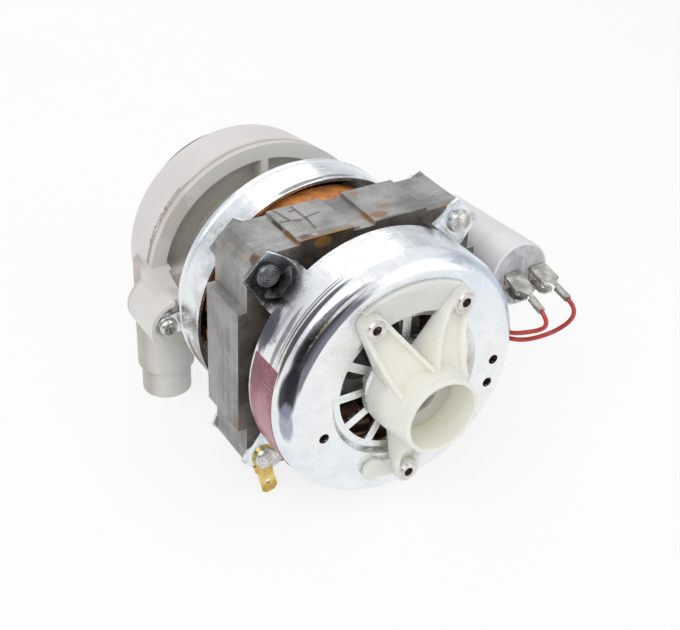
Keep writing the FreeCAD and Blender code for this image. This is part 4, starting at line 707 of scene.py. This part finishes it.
for finish, nodeNames in nodeFinishes.items():
    for nodeName in nodeNames:
        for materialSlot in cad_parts[nodeName].material_slots:
            materialSlot.material = materials[finish]
print("finishes made:", len(materials))

# Leads from the windings to the capacitor's receptacles
leadRadius = 0.9
leadRoutes = {
    "lead_1": {"length": 50.5, "receptacle": "lead_receptacle_1", "points": [
        (40.22, -15.7, -5.52), (45.2, -16.0, -6.2), (50.0, -17.9, -6.4), (53.5, -23.6, -5.4),
        (55.0, -29.4, -4.4), (56.9, -34.6, -3.0), (60.6, -37.8, -1.6), (63.6, -40.8, 0.2),
        (64.2, -43.4, 3.6), (63.72, -41.84, 7.66), (63.72, -37.51, 8.89)]},
    "lead_2": {"length": 64.6, "receptacle": "lead_receptacle_2", "points": [
        (39.75, -15.7, -8.26), (46.2, -16.4, -9.6), (51.4, -19.2, -9.4), (54.2, -25.4, -8.0),
        (56.4, -31.4, -7.0), (60.2, -35.6, -6.6), (66.2, -37.6, -6.0), (72.6, -40.0, -3.6),
        (76.6, -42.6, 1.0), (77.4, -43.6, 5.6), (75.82, -42.43, 10.0), (75.82, -37.99, 10.76)]},
}


def makeLead(name, route):
    curve = bpy.data.curves.new(name + "Wire", "CURVE")
    curve.dimensions = "3D"
    curve.bevel_depth = leadRadius * mm
    curve.bevel_resolution = 5
    curve.use_fill_caps = True
    spline = curve.splines.new("NURBS")
    spline.points.add(len(route["points"]) - 1)
    for point, spot in zip(spline.points, route["points"]):
        point.co = (*place(*spot), 1.0)
    spline.order_u = 3
    spline.use_endpoint_u = True
    spline.resolution_u = 16
    lead = bpy.data.objects.new(name + "Wire", curve)
    bpy.context.scene.collection.objects.link(lead)
    curve.materials.append(materials["redInsulation"])
    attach(lead, "housing")
    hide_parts(name)


for leadName, leadRoute in leadRoutes.items():
    makeLead(leadName, leadRoute)
print("leads laid:", len(leadRoutes))


# Geometry Nodes helpers
def newTree(name, inputs):
    tree = bpy.data.node_groups.new(name, "GeometryNodeTree")
    tree.interface.new_socket("Geometry", in_out="INPUT", socket_type="NodeSocketGeometry")
    for label, kind, value in inputs:
        socket = tree.interface.new_socket(label, in_out="INPUT", socket_type=kind)
        if value is not None:
            socket.default_value = value
    tree.interface.new_socket("Geometry", in_out="OUTPUT", socket_type="NodeSocketGeometry")
    return tree, tree.nodes.new("NodeGroupInput").outputs, tree.nodes.new("NodeGroupOutput").inputs


def endTree(tree, geometry, finish, result):
    real = addNode(tree, "GeometryNodeRealizeInstances", {0: geometry}).outputs[0]
    painted = addNode(tree, "GeometryNodeSetMaterial", {0: real})
    painted.inputs["Material"].default_value = materials[finish]
    tree.links.new(painted.outputs[0], result["Geometry"])


def toPiece(name, mesh, tree, values, body, replaced=(), smooth=False):
    # Runs a tree on a mesh and keeps its result as a plain mesh piece on one body.
    source = bpy.data.objects.new(name + "Source", mesh)
    bpy.context.scene.collection.objects.link(source)
    modifier = source.modifiers.new("build", "NODES")
    modifier.node_group = tree
    for item in tree.interface.items_tree:
        if item.in_out == "INPUT" and item.name in values:
            modifier[item.identifier] = values[item.name]
    evaluated = source.evaluated_get(bpy.context.evaluated_depsgraph_get())
    result = bpy.data.meshes.new_from_object(evaluated)
    source.modifiers.remove(modifier)
    bpy.data.objects.remove(source)
    piece = bpy.data.objects.new(name, result)
    bpy.context.scene.collection.objects.link(piece)
    for polygon in result.polygons:
        polygon.use_smooth = smooth
    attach(piece, body)
    if replaced:
        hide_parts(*replaced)
    print(name, "faces:", len(result.polygons))
    return piece


def meshFrom(name, vertices, faces):
    mesh = bpy.data.meshes.new(name)
    mesh.from_pydata(vertices, [], faces)
    mesh.update()
    return mesh


def latheMesh(name, steps, segments, closed=False, middle=0.0):
    # Each step is a ring: radius, place along Y, and its centre's X and Z, all in mm.
    vertices, faces, rings = [], [], []
    for r, y, x, z in steps:
        start = len(vertices)
        count = segments if r else 1
        rings.append([start + (k if r else 0) for k in range(segments)])
        vertices += [((x + r * math.cos(math.tau * k / segments)) * mm, (y + middle) * mm,
                      (z + r * math.sin(math.tau * k / segments)) * mm) for k in range(count)]
    pairs = list(zip(rings, rings[1:])) + ([(rings[-1], rings[0])] if closed else [])
    for low, high in pairs:
        for k in range(segments):
            n = (k + 1) % segments
            corners = [low[k], low[n], high[n], high[k]]
            faces.append([c for i, c in enumerate(corners) if c not in corners[:i]])
    mesh = meshFrom(name, vertices, faces)
    faceOutwards(mesh)
    return mesh


def faceOutwards(mesh):
    shell = bmesh.new()
    shell.from_mesh(mesh)
    bmesh.ops.recalc_face_normals(shell, faces=shell.faces)
    shell.to_mesh(mesh)
    shell.free()


def addPiece(name, mesh, finish, body, replaced=(), sharp=35.0):
    piece = bpy.data.objects.new(name, mesh)
    bpy.context.scene.collection.objects.link(piece)
    mesh.materials.append(materials[finish])
    mesh.shade_smooth()
    mesh.set_sharp_from_angle(angle=math.radians(sharp))
    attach(piece, body)
    if replaced:
        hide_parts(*replaced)
    print(name, "faces:", len(mesh.polygons))
    return piece


# Stator stack of thin plates
stackSizes = {"length": 24.0, "half": 47.0, "slabReach": 50.5, "slabHalf": 25.5, "blockReach": blockTop,
              "blockNear": 4.5, "blockFar": 26.5, "corner": 42.0, "bore": 25.4, "slots": 24,
              "neck": 26.6, "shoulder": 28.2, "bottom": 37.5, "mouthHalf": 1.1, "slotInner": 1.8,
              "slotOuter": 2.8, "crown": 1.2, "holeRadius": 2.75, "boltInset": 6.75,
              "plates": 48, "gap": 0.03, "jitter": 0.03}


def plateMesh(sizes):
    quarter = [(sizes["slabReach"], sizes["slabHalf"]), (sizes["half"], sizes["slabHalf"]),
               (sizes["half"], sizes["corner"]), (sizes["corner"], sizes["half"]),
               (sizes["blockFar"], sizes["half"]), (sizes["blockFar"], sizes["blockReach"]),
               (sizes["blockNear"], sizes["blockReach"]), (sizes["blockNear"], sizes["half"])]
    upper = quarter + [(-x, z) for x, z in reversed(quarter)]
    outer = upper + [(-x, -z) for x, z in upper]
    crown = sizes["bottom"] - sizes["crown"]
    slotSide = [(sizes["bore"], sizes["mouthHalf"]), (sizes["neck"], sizes["mouthHalf"]),
                (sizes["shoulder"], sizes["slotInner"]), (crown, sizes["slotOuter"]),
                (sizes["bottom"], 0.0)]
    slotLoop = [(r, -half) for r, half in slotSide] + [(r, half) for r, half in reversed(slotSide[:-1])]
    inner = []
    for k in range(sizes["slots"]):
        turn = math.tau / sizes["slots"] * (k + 0.5)
        inner += [(r * math.cos(turn) - s * math.sin(turn), r * math.sin(turn) + s * math.cos(turn))
                  for r, s in slotLoop]
    loops = [outer, list(reversed(inner))]
    middle = sizes["half"] - sizes["boltInset"]
    for signX, signZ in ((1, 1), (-1, 1), (-1, -1), (1, -1)):
        loops.append([(signX * middle + sizes["holeRadius"] * math.cos(-math.tau * k / 16),
                       signZ * middle + sizes["holeRadius"] * math.sin(-math.tau * k / 16)) for k in range(16)])
    half = sizes["length"] / sizes["plates"] / 2 - sizes["gap"] / 2
    flat = [Vector((x * mm, z * mm, 0.0)) for loop in loops for x, z in loop]
    triangles = tessellate_polygon([[Vector((x * mm, z * mm, 0.0)) for x, z in loop] for loop in loops])
    count = len(flat)
    vertices = [(v.x, -half * mm, v.y) for v in flat] + [(v.x, half * mm, v.y) for v in flat]
    faces = [tuple(t) for t in triangles] + [tuple(count + i for i in reversed(t)) for t in triangles]
    start = 0
    for loop in loops:
        for k in range(len(loop)):
            a, b = start + k, start + (k + 1) % len(loop)
            faces.append((a, b, b + count, a + count))
        start += len(loop)
    mesh = meshFrom("plate", vertices, faces)
    faceOutwards(mesh)
    return mesh


def stackTree():
    tree, given, result = newTree("plateStack", [
        ("Plates", "NodeSocketInt", 48), ("Pitch", floatKind, 0.0005), ("Start", vectorKind, None),
        ("Jitter", floatKind, 0.00005), ("Seed", "NodeSocketInt", 4)])
    step = joinVector(tree, y=given["Pitch"])
    line = addNode(tree, "GeometryNodeMeshLine",
                   {"Count": given["Plates"], "Start Location": given["Start"],
                                                  "Offset": step}, mode="OFFSET")
    jitter = joinVector(tree, x=given["Jitter"], z=given["Jitter"])
    low = vecMath(tree, "SCALE", jitter, scale=-1.0)
    shift = addNode(tree, "FunctionNodeRandomValue", {0: low, 1: jitter, "Seed": given["Seed"]},
                    data_type="FLOAT_VECTOR").outputs[0]
    moved = addNode(tree, "GeometryNodeSetPosition", {"Geometry": line.outputs[0], "Offset": shift})
    placed = addNode(tree, "GeometryNodeInstanceOnPoints", {"Points": moved.outputs[0],
                                                            "Instance": given["Geometry"]})
    tone = addNode(tree, "FunctionNodeRandomValue", {"Seed": given["Seed"]}, data_type="FLOAT").outputs[1]
    marked = addNode(tree, "GeometryNodeStoreNamedAttribute",
                     {"Geometry": placed.outputs[0], "Name": "sheetTone", "Value": tone},
                     data_type="FLOAT", domain="INSTANCE")
    endTree(tree, marked.outputs[0], "laminationSteel", result)
    return tree


platePitch = stackSizes["length"] / stackSizes["plates"]
toPiece("laminations", plateMesh(stackSizes), stackTree(),
        {"Plates": stackSizes["plates"], "Pitch": platePitch * mm,
         "Start": tuple(place(0, (platePitch - stackSizes["length"]) / 2, 0)),
         "Jitter": stackSizes["jitter"] * mm}, "housing", ["stator_core"])

# Wire strands over the coil heads
coilSizes = {"span": 84.0, "wire": 0.42, "spacing": 0.82, "wander": 0.45,
             "main": {"inner": 32.9, "outer": {-1: 40.5, 1: 45.2}, "poles": (90.0, 270.0)},
             "start": {"inner": 26.9, "outer": {-1: 32.3, 1: 32.3}, "poles": (0.0, 180.0)},
             "low": 13.6, "high": 26.0, "round": 1.6}


def strandRing(part, side):
    # Points on the coil head's section, as pairs of radius and place along the shaft.
    inner, outer = part["inner"], part["outer"][side]
    low, high, bevel = coilSizes["low"], coilSizes["high"], coilSizes["round"]
    corners = [(inner, low), (inner, high - bevel), (inner + bevel, high), (outer - bevel, high),
               (outer, high - bevel), (outer, low)]
    points = []
    for (r0, y0), (r1, y1) in zip(corners, corners[1:]):
        count = max(1, round(math.hypot(r1 - r0, y1 - y0) / coilSizes["spacing"]))
        points += [(r0 + (r1 - r0) * k / count, side * (y0 + (y1 - y0) * k / count)) for k in range(count)]
    return points


def strandTree(finish):
    # Each source point is (radius, place along the shaft, 0) and becomes one arc of wire.
    tree, given, result = newTree(finish + "Strands", [
        ("Pole", floatKind, 0.0), ("Half Span", floatKind, 1.4), ("Wire", floatKind, 0.0004),
        ("Wander", floatKind, 0.0004), ("Segments", "NodeSocketInt", 44)])
    spot = splitVector(tree, addNode(tree, "GeometryNodeInputPosition").outputs[0])
    radius = addNode(tree, "GeometryNodeCaptureAttribute", {"Geometry": given["Geometry"]})
    radius.capture_items.new("FLOAT", "Radius")
    tree.links.new(spot[0], radius.inputs["Radius"])
    onShaft = joinVector(tree, y=spot[1])
    lined = addNode(tree, "GeometryNodeSetPosition",
                    {"Geometry": radius.outputs["Geometry"], "Position": onShaft})
    arc = addNode(tree, "GeometryNodeCurveArc", {"Resolution": given["Segments"], "Radius": 1.0,
                                                 "Start Angle": calc(tree, "SUBTRACT", given["Pole"],
                                                                     given["Half Span"]),
                                                 "Sweep Angle": calc(tree, "MULTIPLY", given["Half Span"],
                                                                     2.0)},
                  mode="RADIUS")
    size = joinVector(tree, radius.outputs["Radius"], radius.outputs["Radius"], radius.outputs["Radius"])
    placed = addNode(tree, "GeometryNodeInstanceOnPoints",
                     {"Points": lined.outputs[0], "Instance": arc.outputs[0],
                                                            "Rotation": (math.pi / 2, 0.0, 0.0),
                                                            "Scale": size})
    real = addNode(tree, "GeometryNodeRealizeInstances", {0: placed.outputs[0]}).outputs[0]
    noise = addNode(tree, "ShaderNodeTexNoise", {"Scale": 160.0, "Detail": 1.0}).outputs[1]
    centred = vecMath(tree, "SUBTRACT", noise, (0.5, 0.5, 0.5))
    wander = vecMath(tree, "SCALE", centred, scale=given["Wander"])
    loose = addNode(tree, "GeometryNodeSetPosition", {"Geometry": real, "Offset": wander})
    ring = addNode(tree, "GeometryNodeCurvePrimitiveCircle", {"Resolution": 5, "Radius": given["Wire"]})
    wires = addNode(tree, "GeometryNodeCurveToMesh",
                    {"Curve": loose.outputs[0], "Profile Curve": ring.outputs[0],
                                                      "Fill Caps": True})
    endTree(tree, wires.outputs[0], finish, result)
    return tree


strands = {-1: strandTree("varnishedCopper"), 1: strandTree("enamelledCopper")}
for coilName in ("main", "start"):
    coil = coilSizes[coilName]
    for sideName, side in (("Front", -1), ("Rear", 1)):
        for poleNumber, pole in enumerate(coil["poles"]):
            dots = [(r * mm, (y + stackMiddle) * mm, 0.0) for r, y in strandRing(coil, side)]
            toPiece(f"{coilName}Strands{sideName}{poleNumber + 1}", meshFrom("dots", dots, []),
                    strands[side],
                    {"Pole": math.radians(pole), "Half Span": math.radians(coilSizes["span"]),
                     "Wire": coilSizes["wire"] * mm, "Wander": coilSizes["wander"] * mm},
                    "housing", smooth=True)
print("coils wound")

# Tie bolts with turned rings on their heads
boltSizes = {"diagonal": 56.922, "head": 4.6, "height": 2.8, "shank": 2.5, "seat": -13.4, "end": 19.0,
             "rings": 4, "ringDepth": 0.26, "segments": 48}


def boltMesh(sizes):
    top = sizes["seat"] - sizes["height"]
    profile = [(0.0, top + 0.1)]
    for k in range(sizes["rings"] * 4 + 1):
        reach = k / (sizes["rings"] * 4)
        r = 0.25 + (sizes["head"] - 0.9) * reach
        dome = sizes["height"] * 0.16 * reach ** 2.2
        profile.append((r, top + dome + (sizes["ringDepth"] if k % 4 in (1, 2) else 0.0)))
    profile += [(sizes["head"] - 0.25, top + 1.5), (sizes["head"], sizes["seat"] - 0.3),
                (sizes["head"] - 0.1, sizes["seat"]), (sizes["shank"], sizes["seat"]),
                (sizes["shank"], sizes["end"] - 0.6), (sizes["shank"] - 0.6, sizes["end"]),
                (0.0, sizes["end"])]
    return latheMesh("bolt", [(r, y, 0.0, 0.0) for r, y in profile], sizes["segments"])


def boltTree():
    tree, given, result = newTree("tieBolts", [("Reach", floatKind, 0.0569), ("Middle", floatKind, -0.097)])
    ring = addNode(tree, "GeometryNodeMeshCircle", {"Vertices": 4, "Radius": given["Reach"]})
    shift = joinVector(tree, y=given["Middle"])
    turnedRing = addNode(tree, "GeometryNodeTransform", {"Geometry": ring.outputs[0], "Translation": shift,
                                                         "Rotation": (math.pi / 2, math.pi / 4, 0.0)})
    placed = addNode(tree, "GeometryNodeInstanceOnPoints", {"Points": turnedRing.outputs[0],
                                                            "Instance": given["Geometry"]})
    endTree(tree, placed.outputs[0], "platedSteel", result)
    return tree


toPiece("ringedBolts", boltMesh(boltSizes), boltTree(),
        {"Reach": boltSizes["diagonal"] * mm, "Middle": stackMiddle * mm}, "housing",
        ["tie_bolts"], smooth=True)


# Front half of the casing, with its inlet pipe and the welded seam
capSizes = {"x": casingCentre[0], "z": casingCentre[1], "seam": 62.5, "seamRadius": 49.1, "edge": 83.2,
            "edgeRadius": 46.45, "round": 5.0,
            "wall": 2.4, "pipe": 27.0, "bore": 24.4, "mouth": 97.0, "groove": 0.55, "segments": 160}


def capMesh(sizes):
    x, z, wall = sizes["x"], sizes["z"], sizes["wall"]
    end = sizes["edge"] + sizes["round"]
    steps = [(sizes["seamRadius"] - sizes["groove"], sizes["seam"], x, z),
             (sizes["seamRadius"] - sizes["groove"], sizes["seam"] + 0.5, x, z),
             (sizes["seamRadius"] - 0.1, sizes["seam"] + 0.9, x, z),
             (sizes["seamRadius"] - 0.3, sizes["seam"] + 3.0, x, z),
             (sizes["edgeRadius"], sizes["edge"], x, z)]
    for k in range(1, 9):
        turn = math.pi / 2 * k / 8
        steps.append((sizes["edgeRadius"] - sizes["round"] * (1 - math.cos(turn)),
                      sizes["edge"] + sizes["round"] * math.sin(turn), x, z))
    steps += [(sizes["pipe"] + 0.8, end, 0.0, 0.0), (sizes["pipe"], end + 0.8, 0.0, 0.0),
              (sizes["pipe"], sizes["mouth"] - 0.5, 0.0, 0.0),
              (sizes["pipe"] - 0.5, sizes["mouth"], 0.0, 0.0),
              (sizes["bore"] + 0.5, sizes["mouth"], 0.0, 0.0),
              (sizes["bore"], sizes["mouth"] - 0.5, 0.0, 0.0),
              (sizes["bore"], end - wall, 0.0, 0.0),
              (sizes["edgeRadius"] - sizes["round"], end - wall, x, z),
              (sizes["edgeRadius"] - wall, sizes["edge"] - 1.0, x, z),
              (sizes["seamRadius"] - wall, sizes["seam"] + 2.0, x, z),
              (sizes["seamRadius"] - wall, sizes["seam"], x, z)]
    return latheMesh("casingCap", steps, sizes["segments"], closed=True, middle=stackMiddle)


addPiece("casingCap", capMesh(capSizes), "capPlastic", "housing", ["pump_cap"])

collarSizes = {"start": 88.7, "bore": 27.05, "foot": 30.4, "bend": 91.5, "flare": 96.0, "lip": 36.4,
               "end": 101.0,
               "thick": 2.4, "throat": 28.7, "segments": 128}


def collarMesh(sizes):
    lip, end = sizes["lip"], sizes["end"]
    steps = [(sizes["bore"], sizes["start"]), (sizes["foot"], sizes["start"]),
             (sizes["foot"], sizes["bend"]),
             (sizes["foot"] + 0.5, sizes["flare"] - 1.5), (sizes["foot"] + 1.9, sizes["flare"]),
             (lip, end - 1.2), (lip - 0.2, end - 0.3), (lip - 0.6, end), (lip - sizes["thick"], end),
             (sizes["throat"] + 1.4, sizes["flare"] + 1.0), (sizes["throat"], sizes["flare"] - 1.0),
             (sizes["bore"], sizes["flare"] - 1.5)]
    return latheMesh("collar", [(r, y, 0.0, 0.0) for r, y in steps], sizes["segments"], closed=True,
                     middle=stackMiddle)


addPiece("flaredCollar", collarMesh(collarSizes), "collarRubber", "housing",
         ["inlet_collar"])

flashSizes = {"from": 133.0, "to": 162.0, "bits": 34, "size": 0.36, "radius": 48.9, "along": 64.2,
              "seed": 11}


def flashTree():
    tree, given, result = newTree("weldFlash", [
        ("Radius", floatKind, 0.049), ("From", floatKind, 2.5), ("Sweep", floatKind, 0.8),
        ("Bits", "NodeSocketInt", 70),
        ("Centre", vectorKind, None), ("Size", floatKind, 0.0004), ("Seed", "NodeSocketInt", 11)])
    arc = addNode(tree, "GeometryNodeCurveArc", {"Resolution": 96, "Radius": given["Radius"],
                                                 "Start Angle": given["From"],
                                                 "Sweep Angle": given["Sweep"]},
                  mode="RADIUS")
    dots = addNode(tree, "GeometryNodeCurveToPoints", {"Curve": arc.outputs[0], "Count": given["Bits"]},
                   mode="COUNT")
    shift = addNode(tree, "FunctionNodeRandomValue",
                    {0: (-0.00015, -0.00015, -0.0003), 1: (0.00015, 0.00015, 0.0003),
                                                      "Seed": given["Seed"]},
                                                      data_type="FLOAT_VECTOR").outputs[0]
    loose = addNode(tree, "GeometryNodeSetPosition", {"Geometry": dots.outputs[0], "Offset": shift})
    scale = addNode(tree, "FunctionNodeRandomValue", {0: (0.5, 0.5, 1.4), 1: (0.9, 0.9, 3.0),
                                                      "Seed": given["Seed"]},
                                                      data_type="FLOAT_VECTOR").outputs[0]
    bit = addNode(tree, "GeometryNodeMeshIcoSphere", {"Radius": given["Size"], "Subdivisions": 2})
    placed = addNode(tree, "GeometryNodeInstanceOnPoints",
                     {"Points": loose.outputs[0], "Instance": bit.outputs[0],
                                                            "Scale": scale})
    stood = addNode(tree, "GeometryNodeTransform",
                    {"Geometry": placed.outputs[0], "Translation": given["Centre"],
                                                    "Rotation": (math.pi / 2, 0.0, 0.0)})
    endTree(tree, stood.outputs[0], "weldFlash", result)
    return tree


toPiece("weldFlash", meshFrom("flashSeed", [(0, 0, 0)], []), flashTree(),
        {"Radius": flashSizes["radius"] * mm, "From": math.radians(flashSizes["from"]),
         "Sweep": math.radians(flashSizes["to"] - flashSizes["from"]), "Bits": flashSizes["bits"],
         "Centre": tuple(place(capSizes["x"], flashSizes["along"], capSizes["z"])),
         "Size": flashSizes["size"] * mm,
         "Seed": flashSizes["seed"]}, "housing", smooth=True)


# Floor, world and lamps
def makeStage():
    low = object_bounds()[0][2]
    floor = bpy.data.objects.new("floor", meshFrom("floor", [
        (-3.0, -3.0, low), (3.0, -3.0, low), (3.0, 3.0, low), (-3.0, 3.0, low)], [(0, 1, 2, 3)]))
    bpy.context.scene.collection.objects.link(floor)
    material, tree, shader, coords = startMaterial("paleFloor", Roughness=0.8)
    tone = useGroup(tree, "mottle", Vector=coords, Scale=2.0, Dark=(0.93, 0.93, 0.93),
                    Light=(0.95, 0.95, 0.95))
    tree.links.new(tone["Color"], shader.inputs["Base Color"])
    path = tree.nodes.new("ShaderNodeLightPath").outputs
    seen = calc(tree, "MAXIMUM", path["Is Camera Ray"], path["Is Glossy Ray"])
    white = addNode(tree, "ShaderNodeEmission", {"Color": (1, 1, 1, 1), "Strength": 1.0}).outputs[0]
    mixed = addNode(tree, "ShaderNodeMixShader",
                    {0: calc(tree, "MULTIPLY", seen, 0.8), 1: shader.outputs[0],
                                                  2: white}).outputs[0]
    tree.links.new(mixed, tree.nodes["Material Output"].inputs["Surface"])
    floor.data.materials.append(material)


worldSizes = {"glow": 0.62, "darkSide": (-0.72, -0.66, 0.20), "darkReach": 0.42, "darkLevel": 0.06}


def makeWorld(sizes):
    world = bpy.data.worlds.new("studio")
    bpy.context.scene.world = world
    world.use_nodes = True
    tree = world.node_tree
    tree.nodes.clear()
    coords = tree.nodes.new("ShaderNodeTexCoord").outputs["Generated"]
    height = splitVector(tree, coords)[2]
    ramp = addNode(tree, "ShaderNodeValToRGB", {0: calc(tree, "MULTIPLY_ADD", height, 0.5, 0.5)})
    stops = ramp.color_ramp.elements
    stops[0].position, stops[0].color = 0.45, (0.95, 0.96, 1.0, 1)
    stops[1].position, stops[1].color = 1.0, (0.98, 0.99, 1.0, 1)
    for where, level in ((0.56, 0.80), (0.64, 0.55), (0.74, 0.90)):
        stop = stops.new(where)
        stop.color = (level, level * 1.01, level * 1.04, 1)
    away = vecMath(tree, "DISTANCE", coords, sizes["darkSide"])
    dark = mapRange(tree, away, sizes["darkReach"], sizes["darkReach"] * 0.7, "SMOOTHSTEP")
    mirrored = blendColor(tree, dark, ramp.outputs[0], (sizes["darkLevel"],) * 3)
    path = tree.nodes.new("ShaderNodeLightPath").outputs
    color = blendColor(tree, path["Is Glossy Ray"], (sizes["glow"],) * 3, mirrored)
    color = blendColor(tree, path["Is Camera Ray"], color, (1.0, 1.0, 1.0))
    background = addNode(tree, "ShaderNodeBackground", {"Color": color, "Strength": 1.0})
    out = tree.nodes.new("ShaderNodeOutputWorld")
    tree.links.new(background.outputs[0], out.inputs[0])


lampSizes = {"key": {"spot": (-500, -350, 700), "size": 0.6, "power": 3.2},
             "fill": {"spot": (500, -700, 350), "size": 0.7, "power": 1.2},
             "back": {"spot": (150, 650, 600), "size": 0.6, "power": 1.1}}


def makeLamps(lamps):
    for name, sizes in lamps.items():
        data = bpy.data.lights.new(name, "AREA")
        data.size = sizes["size"]
        data.energy = sizes["power"]
        lamp = bpy.data.objects.new(name, data)
        bpy.context.scene.collection.objects.link(lamp)
        spot = place(*sizes["spot"])
        aim = place(0, 0, 0) - spot
        lamp.matrix_world = Matrix.Translation(spot) @ aim.to_track_quat("-Z", "Y").to_matrix().to_4x4()


makeStage()
makeWorld(worldSizes)
makeLamps(lampSizes)
bpy.context.scene.view_settings.view_transform = "Standard"
print("stage lit")
